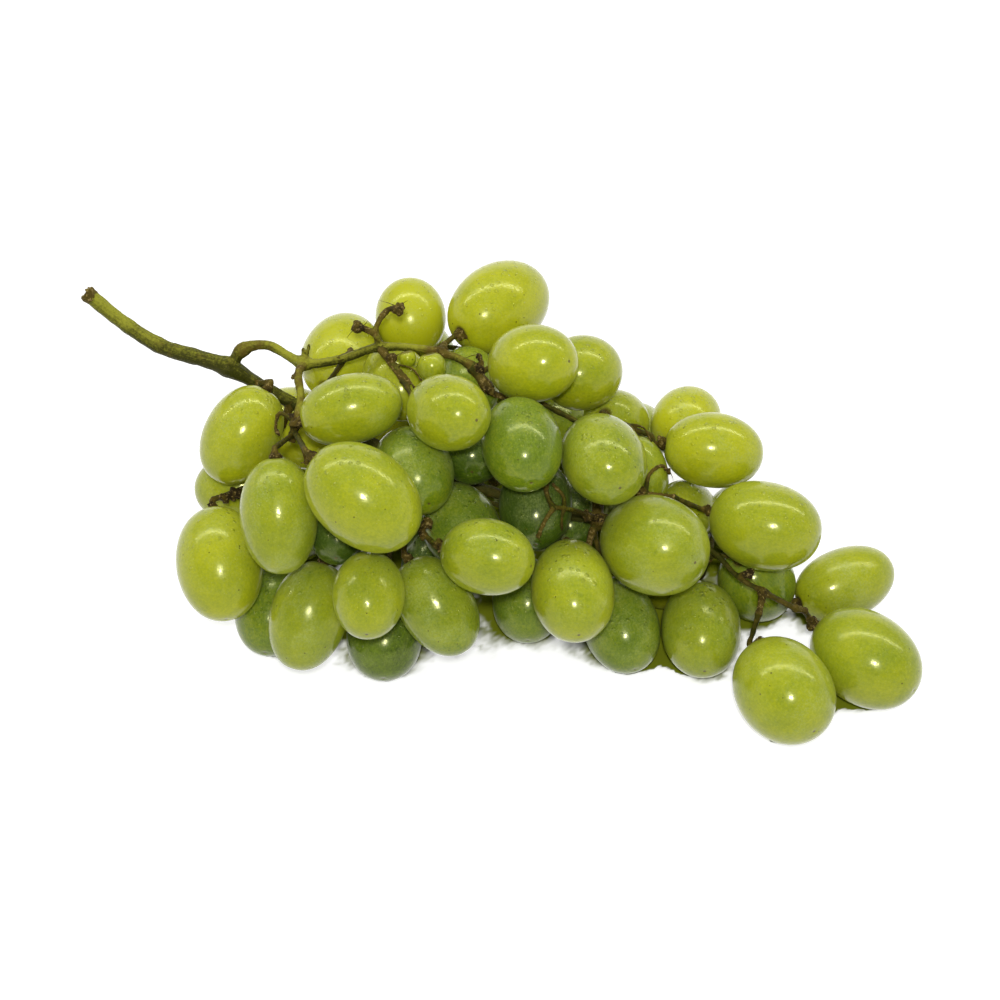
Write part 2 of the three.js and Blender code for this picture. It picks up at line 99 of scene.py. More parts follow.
# How each berry looks, from the first on its branch: how ripe (0 is leaf green, 1 golden, and below
# 0 painted shade, the dark green of shadow deep in the bunch), how hazy its bloom is, and how thick
# the fine droplets stand on it. Where nothing is given it is as its neighbours are: drawn, or usual.
UNNAMED_RIPE = (0.2, 0.5)
UNNAMED_HAZE = (0.1, 0.35)
USUAL_DAMP = 0.95
LOOKS = {
    "shoulder": [(0.7, None, 0.6), (0.58, 0.1, None), (0.05, 0.05, None), (0.36, 0.35, None)],
    "spur": [(0.55, None, None), (0.54, 0.15, None), (0.42, 0.6, None)],
    "elbow": [(0.72, 0.5, None)],
    "heel": [(0.9, 0.5, None)],
    "inner": [(0.54, 0.05, None), (0.7, 0.1, None)],
    "crest": [(0.88, None, None), (1.05, 0.4, None), (0.16, 0.0, None)],
    "heel_low": [(0.66, None, None), (0.58, None, None)],
    "front_left": [(-0.55, 0.1, None), (0.4, 0.9, 0.7), (0.04, 0.1, None), (None, None, None)],
    "back_left": [(0.95, None, None), (None, None, None), (1.0, None, None)],
    "front_mid": [
        (0.12, 0.5, None), (0.46, None, 0.7), (0.26, 0.8, None), (0.44, None, None), (-0.2, 0.3, None),
    ],
    "back_mid": [
        (-0.4, 0.1, None), (None, None, None), (None, None, None), (None, None, None), (None, None, None),
    ],
    "centre": [(0.05, 0.6, None), (-0.55, 0.5, None), (-0.02, 0.4, None), (-0.8, 0.2, None)],
    "back_right": [(None, None, None), (None, None, None)],
    "front_right": [(0.56, None, 1.0), (0.44, 0.6, 0.6), (0.04, 0.6, None)],
    "upper_right": [(0.8, 0.5, None), (0.95, 0.8, None), (0.52, None, None), (0.36, 0.1, 0.3)],
    "lower_right": [(-0.35, None, None), (0.2, None, None), (None, None, None)],
    "long_stalk": [(0.55, None, None), (0.45, None, None)],
    "under_right": [(0.7, None, None), (0.38, 0.5, None), (0.1, None, None), (None, None, None)],
    "tip_low": [(0.54, 0.6, 0.5)],
    "tip": [(0.62, 0.7, 0.5), (0.46, None, 0.5)],
}


def vectors_of(items, field):
    """That field of every item, as rows of three numbers."""
    values = np.empty(len(items) * 3, np.float32)
    items.foreach_get(field, values)
    return values.reshape(-1, 3).astype(float)


def berry_in_frame(node):
    """Where a berry of the frame is: its middle, the way its tip points, half its length, its radius.

    Its two ends are the only corners where twelve facets meet, and the nearer ring is the scar's.
    The widest ring is close to halfway, at the cosine of half the scar's angle from the full radius.
    """
    facets = vectors_of(node.data.vertices, "co").reshape(-1, 3, 3)
    keys = np.round(facets.reshape(-1, 3) / (0.001 * MM)).astype(int)
    places, belongs, facets_there = np.unique(keys, axis=0, return_inverse=True, return_counts=True)
    belongs = belongs.reshape(-1, 3)
    ends = []
    for end in np.argsort(facets_there)[-2:]:
        fan = facets[(belongs == end).any(axis=1)].reshape(-1, 3)
        point = places[end] * 0.001 * MM
        ends.append((np.linalg.norm(fan - point, axis=1).max(), point))
    ends.sort(key=lambda end: end[0])
    scar, tip = ends[0][1], ends[1][1]
    axis = (tip - scar) / np.linalg.norm(tip - scar)
    outward = facets.reshape(-1, 3) - scar
    outward -= np.outer(outward @ axis, axis)
    widest = np.linalg.norm(outward, axis=1).max()
    scar_angle = math.asin(SCAR_RADIUS / widest)
    radius = widest / math.cos(scar_angle / 2)
    half = (np.linalg.norm(tip - scar) + SCAR_DIMPLE) / (1 + math.cos(scar_angle))
    return tip - axis * half, axis, half, radius


def axes_across(axis):
    """Two directions square to axis and to each other, in right-handed order with it."""
    aside = np.array([1.0, 0, 0]) if abs(axis[0]) < 0.7 else np.array([0, 1.0, 0])
    first = np.cross(aside, axis)
    first /= np.linalg.norm(first)
    return first, np.cross(axis, first)


def tube_faces(rows, around, start=0):
    """The faces of a closed tube: a wall between each two rows of points, and a fan at each end.

    Its points are numbered from start: the rows' first, then the two points that the fans meet at.
    """
    place = start + np.arange(rows * around).reshape(rows, around)
    beside = np.roll(place, -1, axis=1)
    walls = np.stack([place[:-1], beside[:-1], beside[1:], place[1:]], axis=-1).reshape(-1, 4)
    pole = np.full(around, start + rows * around)
    first_fan = np.stack([pole, beside[0], place[0]], axis=-1)
    last_fan = np.stack([pole + 1, place[-1], beside[-1]], axis=-1)
    return walls.tolist() + first_fan.tolist() + last_fan.tolist()


def shell_between_poles(name, rings, first_pole, last_pole):
    """A closed skin: rows of points around an axis, each row joined to the next, a fan at each pole."""
    rows, around, _ = rings.shape
    points = np.concatenate([rings.reshape(-1, 3), [first_pole, last_pole]])
    mesh = bpy.data.meshes.new(name)
    mesh.from_pydata(points.tolist(), [], tube_faces(rows, around))
    mesh.polygons.foreach_set("use_smooth", np.ones(len(mesh.polygons), bool))
    return mesh


def note_on_points(mesh, name, values):
    """Stores a number or a three-part value at each of the mesh's points, for its material to read."""
    kind = "FLOAT" if values.ndim == 1 else "FLOAT_VECTOR"
    field = "value" if values.ndim == 1 else "vector"
    mesh.attributes.new(name, kind, "POINT").data.foreach_set(field, values.astype(np.float32).ravel())


def skin_of_berry(name, middle, axis, half, radius, draw):
    """The skin of one berry, as rows of points from the stalk end to the tip.

    At angle a from the stalk end the skin is radius * sin(a) ** FULLNESS from the axis, a little
    out of round, and half * cos(a) before the middle. A dimple at each end is a Gaussian of the
    distance from the axis. Rows lie closer together at both ends.
    """
    share = np.arange(1, SKIN_ROWS + 1) / (SKIN_ROWS + 1)
    angle = (math.pi * share - ROW_CROWDING * np.sin(2 * math.pi * share))[:, None]
    turn = (2 * math.pi * np.arange(SKIN_AROUND) / SKIN_AROUND)[None, :]
    egg, oval, three, lean = draw.uniform(-1, 1, 4)
    round_phase, three_phase = draw.uniform(0, 2 * math.pi, 2)
    wobble = 1 + EGG * egg * np.cos(angle)
    wobble = wobble + OVAL * oval * np.sin(angle) ** 2 * np.cos(2 * turn + round_phase)
    wobble = wobble + THREE_SIDED * three * np.sin(angle) ** 3 * np.cos(3 * turn + three_phase)
    across = (radius + SKIN_SWELL) * np.sin(angle) ** FULLNESS * wobble
    along = -(half + SKIN_SWELL) * np.cos(angle) + 0 * turn
    along = along + STALK_DIMPLE * np.exp(-((across / STALK_DIMPLE_WIDTH) ** 2)) * (angle < 1)
    along = along - TIP_DIMPLE * np.exp(-((across / TIP_DIMPLE_WIDTH) ** 2)) * (angle > 2)
    first, second = axes_across(axis)
    bend = BOWED * lean * half * np.cos(math.pi * along / half)
    rings = middle + along[..., None] * axis
    rings = rings + (across * np.cos(turn) + bend)[..., None] * first
    rings = rings + (across * np.sin(turn))[..., None] * second
    stalk_pole = middle + (-half - SKIN_SWELL + STALK_DIMPLE) * axis + bend[0, 0] * first
    tip_pole = middle + (half + SKIN_SWELL - TIP_DIMPLE) * axis + bend[-1, 0] * first
    for part in (rings, stalk_pole, tip_pole):
        height = part[..., 2]
        part[..., 2] = (height + np.sqrt(height ** 2 + TABLE_CREASE ** 2)) / 2
    mesh = shell_between_poles(name, rings, stalk_pole, tip_pole)

    poles = np.array([[0, 0, 0], [0, 0, 1]])
    girth = np.stack(np.broadcast_arrays(np.cos(turn), np.sin(turn), angle / math.pi), axis=-1)
    note_on_points(mesh, "girth", np.concatenate([girth.reshape(-1, 3), poles]))
    from_stalk = np.concatenate([np.hypot(across, along + half).ravel(), [0, 2 * half]])
    from_tip = np.concatenate([np.hypot(across, along - half).ravel(), [2 * half, 0]])
    note_on_points(mesh, "from_stalk", from_stalk / MM)
    note_on_points(mesh, "from_tip", from_tip / MM)
    return mesh


def lay(tree, kind, inputs=None, **settings):
    """One node of a material: its settings, then its inputs, each a plain value or another's output."""
    made = tree.nodes.new(kind)
    for name, value in settings.items():
        setattr(made, name, value)
    for socket, value in (inputs or {}).items():
        if isinstance(value, bpy.types.NodeSocket):
            tree.links.new(value, made.inputs[socket])
        else:
            made.inputs[socket].default_value = value
    return made


def noted(tree, name, output="Fac"):
    """What was stored on the points under that name."""
    return lay(tree, "ShaderNodeAttribute", attribute_name=name).outputs[output]


def reckon(tree, operation, first, second=0.0, third=0.0):
    """A sum on one or two numbers."""
    inputs = {0: first, 1: second, 2: third}
    return lay(tree, "ShaderNodeMath", inputs, operation=operation).outputs[0]


def step_between(tree, value, start, end, low=0.0, high=1.0):
    """low where value is below start, high where it is above end, and a smooth step between."""
    inputs = {"Value": value, "From Min": start, "From Max": end, "To Min": low, "To Max": high}
    kind = "ShaderNodeMapRange"
    return lay(tree, kind, inputs, interpolation_type="SMOOTHSTEP").outputs["Result"]


def tint(tree, share, below, above):
    """The colour below where share is 0, above where it is 1."""
    made = lay(tree, "ShaderNodeMix", {0: share, 6: below, 7: above}, data_type="RGBA")
    return made.outputs[2]


def cloudy(tree, where, scale, detail=2.0, roughness=0.5):
    """Smooth noise that swings about one half, with features about 1 / scale metres across."""
    inputs = {"Vector": where, "Scale": scale, "Detail": detail, "Roughness": roughness}
    return lay(tree, "ShaderNodeTexNoise", inputs).outputs["Fac"]


def stretched(tree, where, scale):
    """The place, with each of its three numbers multiplied by scale's."""
    return lay(tree, "ShaderNodeMapping", {"Vector": where, "Scale": scale}).outputs[0]


def swinging(tree, noise, amount):
    """The noise made to swing about 0, by amount from its least to its most."""
    return reckon(tree, "MULTIPLY_ADD", noise, amount, -amount / 2)


def dots(tree, where, scale):
    """Scattered places, about 1 / scale metres apart: how far from the nearest, and lots it drew."""
    cells = lay(tree, "ShaderNodeTexVoronoi", {"Vector": where, "Scale": scale, "Randomness": 1.0})
    lots = lay(tree, "ShaderNodeSeparateColor", {0: cells.outputs["Color"]})
    return cells.outputs["Distance"], lots.outputs


# Painted shade: the dark green given to berries deep in the bunch stands in for their shadow.
PAINTED_SHADE_GREEN = (0.040, 0.085, 0.002, 1)
LEAF_GREEN = (0.145, 0.225, 0.005, 1)
GOLDEN_GREEN = (0.550, 0.565, 0.008, 1)
# Painted highlight: the pale colour of the glints.
PAINTED_GLINT_PALE = (0.640, 0.670, 0.240, 1)
VEIN_PALE = (0.500, 0.560, 0.070, 1)
BLOOM_AND_SHEEN_PALE = (0.500, 0.570, 0.200, 1)
SPECK_BROWN = (0.060, 0.050, 0.004, 1)
SCAR_BROWN = (0.110, 0.070, 0.020, 1)

# How fine each pattern on the skin is: how many of its features fit in a metre.
MOTTLES, PATCHES, SPECKS, DROPS = 120, 130, 430, 700
GLINT_DOTS, PORES, BLOOM_GRAINS = 1150, 1500, 1900
STRANDS = (15, 15, 3)  # round the berry, and from end to end
SKIN_RELIEF = 0.042 * MM
DROP_DOME = 60  # how steep a drop is

GRAPE_GLOSS = {
    "IOR": 1.42,
    "Subsurface Weight": 0.6,
    "Subsurface Radius": (1.0, 0.95, 0.2),
    "Subsurface Scale": 7 * MM,
    "Specular Tint": (1.0, 1.0, 0.4, 1),
    "Coat Weight": 0.24,
    "Coat Roughness": 0.28,
    "Sheen Weight": 0.03,
    "Sheen Roughness": 0.55,
    "Sheen Tint": (0.95, 1.0, 0.5, 1),
}


def grape_skin(name):
    """Clear yellow-green flesh under a thin skin, with pole-to-pole veins, specks, bloom and a dark tip,
    and painted glints, a painted sheen on top and painted shade on berries deep in the bunch.
    """
    material = bpy.data.materials.new(name)
    material.use_nodes = True
    tree = material.node_tree
    shader = tree.nodes["Principled BSDF"]
    where = lay(tree, "ShaderNodeTexCoord").outputs["Object"]
    upward, damp = noted(tree, "upward"), noted(tree, "damp")

    mottle = swinging(tree, cloudy(tree, where, MOTTLES, 3, 0.62), 0.75)
    pores = swinging(tree, cloudy(tree, where, PORES, 2, 0.7), 0.8)
    ripe_and_shade = reckon(tree, "ADD", reckon(tree, "ADD", noted(tree, "ripe_and_shade"), mottle), pores)
    colour = tint(tree, ripe_and_shade, LEAF_GREEN, GOLDEN_GREEN)
    # Below 0 the colour goes to painted shade, the dark green of shadow deep in the bunch.
    colour = tint(tree, step_between(tree, ripe_and_shade, -0.5, 0.05, 1.0, 0.0), colour, PAINTED_SHADE_GREEN)

    strands = cloudy(tree, stretched(tree, noted(tree, "girth", "Vector"), STRANDS), 1.0, 2, 0.6)
    from_strand = reckon(tree, "ABSOLUTE", reckon(tree, "SUBTRACT", strands, 0.5))
    colour = tint(tree, step_between(tree, from_strand, 0.0, 0.03, 0.16, 0.0), colour, VEIN_PALE)

    patches = step_between(tree, cloudy(tree, where, PATCHES, 2, 0.6), 0.42, 0.68)
    bloom_and_top_sheen = reckon(tree, "MULTIPLY", patches, noted(tree, "haze"))
    # Painted sheen: the top of each berry is made paler, where light from above falls, over the real bloom
    # patches.
    bloom_and_top_sheen = reckon(tree, "MULTIPLY_ADD", upward, 0.35, bloom_and_top_sheen)
    grain = step_between(tree, cloudy(tree, where, BLOOM_GRAINS, 1, 0.7), 0.40, 0.70)
    dust_and_sheen = reckon(tree, "MULTIPLY", bloom_and_top_sheen, reckon(tree, "MULTIPLY_ADD", grain, 0.30, 0.16))
    colour = tint(tree, dust_and_sheen, colour, BLOOM_AND_SHEEN_PALE)

    from_speck, lots = dots(tree, where, SPECKS)
    size = step_between(tree, lots[0], 0.25, 1.0, -0.03, 0.10)
    from_edge = reckon(tree, "SUBTRACT", from_speck, size)
    colour = tint(tree, step_between(tree, from_edge, -0.03, 0.03, 0.8, 0.0), colour, SPECK_BROWN)

    # Painted glints: tiny pale dots on the tops of damp berries, standing in for light caught by droplets.
    from_glint, lots = dots(tree, where, GLINT_DOTS)
    painted_glint = step_between(tree, from_glint, 0.10, 0.24, 1.0, 0.0)
    painted_glint = reckon(tree, "MULTIPLY", painted_glint, step_between(tree, lots[2], 0.4, 1.0, 0.0, 0.9))
    painted_glint = reckon(tree, "MULTIPLY", painted_glint, reckon(tree, "MULTIPLY_ADD", damp, 0.48, 0.04))
    colour = tint(tree, painted_glint, colour, PAINTED_GLINT_PALE)

    tip_dot = step_between(tree, noted(tree, "from_tip"), 0.25, 0.5, 0.85, 0.0)
    stalk_ring = step_between(tree, noted(tree, "from_stalk"), 1.3, 2.3, 0.75, 0.0)
    colour = tint(tree, reckon(tree, "MAXIMUM", tip_dot, stalk_ring), colour, SCAR_BROWN)
    tree.links.new(colour, shader.inputs["Base Color"])

    from_drop, lots = dots(tree, where, DROPS)
    width = reckon(tree, "MULTIPLY", step_between(tree, lots[1], 0.2, 1.0, 0.0, 0.5), damp)
    out = reckon(tree, "MULTIPLY", from_drop, from_drop)
    dome = reckon(tree, "SUBTRACT", reckon(tree, "MULTIPLY", width, width), out)
    dewy = cloudy(tree, where, DROPS, 2, 0.75)
    height = reckon(tree, "MULTIPLY_ADD", reckon(tree, "MAXIMUM", dome, 0.0), DROP_DOME, dewy)
    bump = lay(tree, "ShaderNodeBump", {"Height": height, "Strength": 1.0, "Distance": SKIN_RELIEF})
    tree.links.new(bump.outputs[0], shader.inputs["Normal"])
    tree.links.new(reckon(tree, "MULTIPLY_ADD", bloom_and_top_sheen, 0.18, 0.11), shader.inputs["Roughness"])
    for socket, value in GRAPE_GLOSS.items():
        shader.inputs[socket].default_value = value
    return material


def finish_piece(name, mesh, material):
    """Puts a finished mesh into the scene as a piece of the bunch."""
    piece = bpy.data.objects.new(name, mesh)
    piece.data.materials.append(material)
    bpy.context.scene.collection.objects.link(piece)
    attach(piece, "root")
    return piece


def upward_of(mesh):
    """How far each point of the mesh faces up: its normal's z, and 0 where it faces down."""
    return np.clip(vectors_of(mesh.vertex_normals, "vector")[:, 2], 0, 1)


def note_looks(skin, ripeness_and_shade, haze, damp):
    """Tells the skin's material how far the berry has ripened, with values below 0 for painted shade, and
    how hazy and damp it is. Drops lie on top of it.
    """
    upward = upward_of(skin)
    note_on_points(skin, "ripe_and_shade", np.full(len(upward), ripeness_and_shade))
    note_on_points(skin, "haze", np.full(len(upward), haze))
    note_on_points(skin, "upward", upward)
    note_on_points(skin, "damp", damp * upward)


berry_skin = grape_skin("grape_skin")
berries = {}
for number, node_name in enumerate(sorted(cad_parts)):
    if not node_name.startswith("berry_"):
        continue
    hung_from = node_name.removeprefix("berry_")
    berries[hung_from] = berry_in_frame(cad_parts[node_name])
    draw = np.random.default_rng(100 + number)
    skin = skin_of_berry(node_name + "_skin", *berries[hung_from], draw)
    unnamed = (draw.uniform(*UNNAMED_RIPE), draw.uniform(*UNNAMED_HAZE), USUAL_DAMP)
    branch, place = hung_from.rsplit("_", 1)
    looks = LOOKS[branch][int(place) - 1]
    note_looks(skin, *(usual if own is None else own for own, usual in zip(looks, unnamed)))
    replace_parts(finish_piece(node_name + "_skin", skin, berry_skin), node_name)


# ---------------------------------------------------------------------------------------------
# The stem: one woody piece. A stout axis comes in from the cut stalk and branches, and each
# berry has a thin stalk of its own, springing from a branch and swelling to a warty cushion.

# The stem is worked out in millimetres from the bunch's origin, and put in its place at the end.
AIR = 0.35  # between a stalk and a berry's skin
SAG = 0.3  # the most that a stalk may be short of that
STALK_RADIUS = 0.65
COLLAR = 2.2  # how far a stalk runs straight into its berry
ROUTE_STEP = 2.0
STALK_REACH = 45  # berries nearer than this to a stalk's start may be in its way
BOW_SIZES = (6, 12)
TIGHTENING_ROUNDS = 150

# Each branch: its parent and the parent's route point that it leaves from, its route, and its
# radius at its start and end.
BRANCHES = {
    "rachis": (None, 0, [
        (-103, 35, 73), (-95, 32, 66.5), (-85, 29, 60.5), (-75, 28, 57.3), (-68, 27, 55), (-60, 25, 50.5),
        (-53, 23, 47), (-45, 20, 45), (-38, 17, 43), (-28, 12, 40), (-18, 8, 38), (-7, 6, 34), (5, 4, 31),
        (16, 2, 28), (25, 1, 27), (40, -3, 27), (52, -9, 27), (59, -17, 25), (65, -20, 23), (73, -22, 19),
    ], 1.9, 1.1),
    "shoulder": ("rachis", 4, [
        (-65, 30, 58.5), (-59, 31, 59.3), (-49, 25, 58.5), (-40, 25, 59.7), (-30, 27, 62), (-15, 25, 62),
        (-7, 22, 60), (-2, 19, 54), (9, 16, 54),
    ], 1.3, 0.8),
    "spur": ("shoulder", 3, [(-50, 19, 60), (-49, 12, 58), (-50, 6, 56), (-51, 3, 52)], 1.1, 0.9),
    "elbow": ("rachis", 5, [(-60.3, 23, 53.5)], 0.9, 0.8),
    "heel": ("shoulder", 4, [(-38, 29, 58), (-38, 33, 56)], 0.9, 0.8),
    "inner": ("shoulder", 5, [(-27, 22, 61), (-24, 17, 60)], 1.0, 0.8),
    "crest": ("shoulder", 6, [(-14, 29, 61), (-15, 34, 56)], 0.9, 0.8),
    "heel_low": ("rachis", 6, [(-57, 18, 39), (-60, 10, 32)], 1.1, 0.8),
    "front_left": ("rachis", 8, [(-41, 8, 37), (-43, 2, 32), (-46, 2, 22)], 1.1, 0.8),
    "back_left": ("rachis", 8, [(-38, 26, 35), (-38, 34, 23)], 1.1, 0.8),
    "front_mid": ("rachis", 9, [(-27, 0, 37), (-25, -9, 37), (-21, -14, 41)], 1.1, 0.8),
    "back_mid": ("rachis", 11, [(-8, 20, 34), (-11, 33, 30)], 1.1, 0.8),
    "centre": ("rachis", 12, [(5, 2, 27), (5, 1, 22)], 0.9, 0.7),
    "back_right": ("rachis", 12, [(6, 20, 31), (5, 35, 26)], 1.1, 0.8),
    "front_right": ("rachis", 14, [(23, -4, 27), (22, -9, 26)], 1.1, 0.8),
    "upper_right": ("rachis", 14, [(24, 6, 34), (27, 13, 40), (31, 17, 45)], 1.2, 0.8),
    "lower_right": ("rachis", 14, [(26, 10, 28), (27, 19, 27)], 1.0, 0.8),
    "long_stalk": ("upper_right", 1, [(29, 0, 38), (36, -2, 39), (43, 0, 36)], 0.9, 0.7),
    "under_right": ("rachis", 16, [(52, -7, 23), (53, -6, 20)], 0.9, 0.7),
    "tip_low": ("rachis", 18, [(64, -24, 20)], 0.9, 0.8),
    "tip": ("rachis", 19, [(76, -20, 16)], 0.9, 0.8),
    "hook": ("rachis", 14, [
        (21.5, -4.5, 34.4), (17.6, -10.4, 42), (15.5, -12.2, 44.3), (13, -14.2, 46.2), (10.6, -17, 44.4),
        (9.3, -18.8, 41.6)], 0.65, 0.55),
}
# Twigs whose berries are gone: parent, its route point, route, radius at start and end, gloom, and
# how worn.
BARE_TWIGS = [
    ("shoulder", 5, [(-31, 28, 65), (-35, 29, 67)], 0.85, 0.8, 0.35, 1.0),
    ("shoulder", 5, [(-31, 29, 66), (-28, 33, 69), (-25.4, 33.6, 69.2)], 0.85, 0.7, 0.35, 1.0),
    ("shoulder", 3, [(-47.8, 27.2, 62.0)], 0.7, 0.4, 0.35, 0.5),
    ("shoulder", 3, [(-49.3, 26.8, 61.4)], 0.6, 0.35, 0.35, 0.5),
    ("rachis", 5, [(-58.6, 24, 52.8)], 0.8, 0.45, 0.9, 1.0),
    ("spur", 3, [(-48, 6, 56), (-46, 5, 57)], 0.6, 0.5, 0.9, 1.0),
    ("spur", 3, [(-54, 8, 57), (-55, 6, 54), (-54, 3.5, 54)], 0.5, 0.45, 0.9, 1.0),
    ("inner", 1, [(-23.5, 17.6, 61.1), (-20.4, 12.5, 60.3)], 0.4, 0.3, 0.9, 1.0),
    ("inner", 1, [(-21.7, 18.6, 62.1), (-18.6, 13.6, 61.3)], 0.35, 0.25, 0.9, 1.0),
    ("shoulder", 7, [(-4.6, 22.6, 59.6), (-5.2, 24, 61.8)], 0.7, 0.6, 0.9, 1.0),
    ("shoulder", 7, [(-2.6, 18.2, 55.6)], 1.3, 1.6, 0.9, 1.0),
    ("hook", 4, [(11.6, -11.6, 47.4), (11.1, -9.6, 48.2), (11.3, -7.4, 48.4)], 0.7, 0.65, 0.9, 1.0),
    ("hook", 3, [(15.4, -9.3, 45.5), (12.6, -7.3, 48)], 0.6, 0.4, 0.9, 1.0),
    ("hook", 3, [(15, -14, 42.9), (14.9, -14.6, 39)], 0.4, 0.4, 0.9, 1.0),
    ("long_stalk", 2, [(37, 1, 43), (40, 3, 44), (42, 3, 42)], 0.6, 0.45, 0.9, 1.0),
    ("upper_right", 3, [(36, 16.5, 44.5), (38.2, 12.5, 43)], 0.4, 0.25, 0.9, 1.0),
    ("rachis", 17, [(61, -18, 27.2)], 0.8, 0.9, 0.9, 1.0),
]
# Corky knobs, where bark has thickened or a berry's stalk was torn off: place, how far the
# lumps spread from it, their mean radius, how many, how dead (1 is black), and how many hairs.
KNOBS = [
    ((-35.2, 29.0, 66.9), 1.7, 0.75, 20, 0.85, 2), ((-25.2, 33.3, 69.3), 1.6, 0.75, 20, 0.85, 2),
    ((-26.8, 23.0, 61.8), 1.5, 0.70, 16, 0.95, 2), ((-14.2, 25.6, 62.0), 1.3, 0.65, 12, 0.80, 0),
    ((-10.0, 37.3, 57.2), 1.7, 0.70, 14, 0.75, 2), ((-5.2, 24.0, 61.6), 1.0, 0.50, 8, 1.0, 2),
    ((-4.8, 21.6, 59.4), 0.9, 0.50, 6, 0.95, 0), ((-2.6, 17.8, 55.4), 1.6, 0.60, 12, 0.90, 0),
    ((-47.8, 27.4, 62.2), 0.4, 0.30, 4, 0.45, 0), ((-49.3, 27.0, 61.6), 0.3, 0.25, 3, 0.40, 0),
    ((-51.2, 18.8, 59.6), 0.7, 0.45, 6, 0.80, 0), ((-50.0, 5.0, 55.6), 1.7, 0.60, 18, 0.80, 2),
    ((-51.0, 7.5, 55.8), 1.4, 0.55, 12, 0.95, 2), ((-46.4, 4.4, 57.0), 0.7, 0.45, 7, 0.90, 2),
    ((-53.4, -6.0, 55.6), 1.2, 0.50, 12, 0.70, 1), ((-46.0, -9.4, 57.4), 1.2, 0.50, 12, 0.75, 1),
    ((-66.4, 3.0, 34.0), 2.0, 0.80, 22, 0.95, 2), ((-69.2, 1.2, 34.3), 1.6, 0.65, 14, 0.95, 2),
    ((-17.6, -16.0, 42.8), 1.7, 0.60, 14, 0.90, 2), ((-18.6, -18.0, 40.8), 1.4, 0.55, 10, 0.85, 1),
    ((-14.6, -21.2, 41.6), 1.2, 0.50, 10, 0.75, 0), ((-23.0, -18.0, 33.6), 1.2, 0.60, 10, 0.95, 0),
    ((-42.2, -15.4, 29.6), 1.1, 0.55, 10, 0.90, 0), ((35.2, -1.1, 39.4), 1.2, 0.55, 12, 0.90, 0),
    ((52.2, 0.0, 31.8), 1.3, 0.55, 12, 0.80, 0), ((61.4, -18.2, 27.6), 1.3, 0.55, 12, 0.95, 1),
    ((78.4, -21.4, 12.6), 2.0, 0.80, 20, 0.80, 2), ((64.6, -21.0, 23.2), 1.3, 0.50, 10, 0.85, 2),
    ((63.6, -30.0, 16.6), 1.1, 0.45, 10, 0.65, 1), ((40.6, 14.8, 41.6), 1.6, 0.65, 14, 0.75, 2),
    ((42.0, 3.0, 42.0), 0.7, 0.45, 8, 0.90, 1), ((9.2, -18.8, 41.4), 0.8, 0.40, 8, 0.75, 1),
    ((21.8, -4.2, 33.8), 1.8, 0.60, 16, 0.9, 1), ((-58.6, 24.0, 52.8), 0.4, 0.30, 5, 0.65, 0),
]
# Where a branch thickens, or thins below 0: at which point of its route, by how much, and over
# what length.
SWELLINGS = {
    "rachis": [(2, 0.2, 7), (3, 0.3, 7), (4, 0.9, 3), (8, 0.4, 2.0), (14, 0.6, 2.5), (17, -0.5, 25),
               (18, 0.5, 1.5)],
    "shoulder": [(1, 0.6, 2.4), (3, 0.9, 2.0), (5, 0.4, 1.6), (6, 0.5, 1.8), (7, 0.5, 2.0)],
    "spur": [(3, 0.5, 1.6)],
}
# How the wood looks along a branch, by share of its length: gloom goes from yellow-green, at 0,
# to dark olive, at 1, and age from green wood, at 0, through brown to dead black, at 1.
GLOOM = {
    "rachis": ([0, 0.05, 0.12, 0.20, 0.26, 0.32, 0.42, 1], [0.1, 0.15, 0.6, 0.8, 0.75, 0.7, 1.1, 1.3]),
    "shoulder": (
        [0, 0.05, 0.13, 0.20, 0.27, 0.33, 0.50, 0.64, 0.70, 1],
        [0.85, 0.5, 0.3, 0.1, 0.05, 0.4, 0.45, 0.15, 0.5, 0.95],
    ),
    "spur": ([0, 0.5, 1], [0.1, 0.05, 0.4]),
    "hook": ([0, 0.4, 0.6, 1], [1.1, 0.9, 0.3, 0.9]),
    "long_stalk": ([0, 0.5, 1], [1.1, 1.1, 0.9]),
}
AGE = {
    "rachis": ([0, 0.01, 0.02, 0.12, 0.3, 0.45, 0.85, 1], [0.7, 0.3, 0.05, 0.25, 0.1, 0.35, 0.25, 0.5]),
    "shoulder": (
        [0, 0.05, 0.10, 0.14, 0.20, 0.60, 0.67, 0.72, 0.85, 1],
        [0.1, 0.45, 0.5, 0.4, 0.15, 0.2, 0.7, 0.4, 0.6, 0.8],
    ),
    "spur": ([0, 0.15, 0.5, 1], [0.2, 0.6, 0.4, 0.75]),
    "hook": ([0, 0.4, 0.6, 1], [0.9, 0.5, 0.35, 0.7]),
    "long_stalk": ([0, 0.5, 1], [0.8, 0.6, 0.7]),
}


def route_of(name):
    """A branch's route, from the point where it leaves its parent."""
    parent, knot, route, _, _ = BRANCHES[name]
    own = np.array(route, float)
    if parent is None:
        return own
    return np.vstack([route_of(parent)[knot], own])


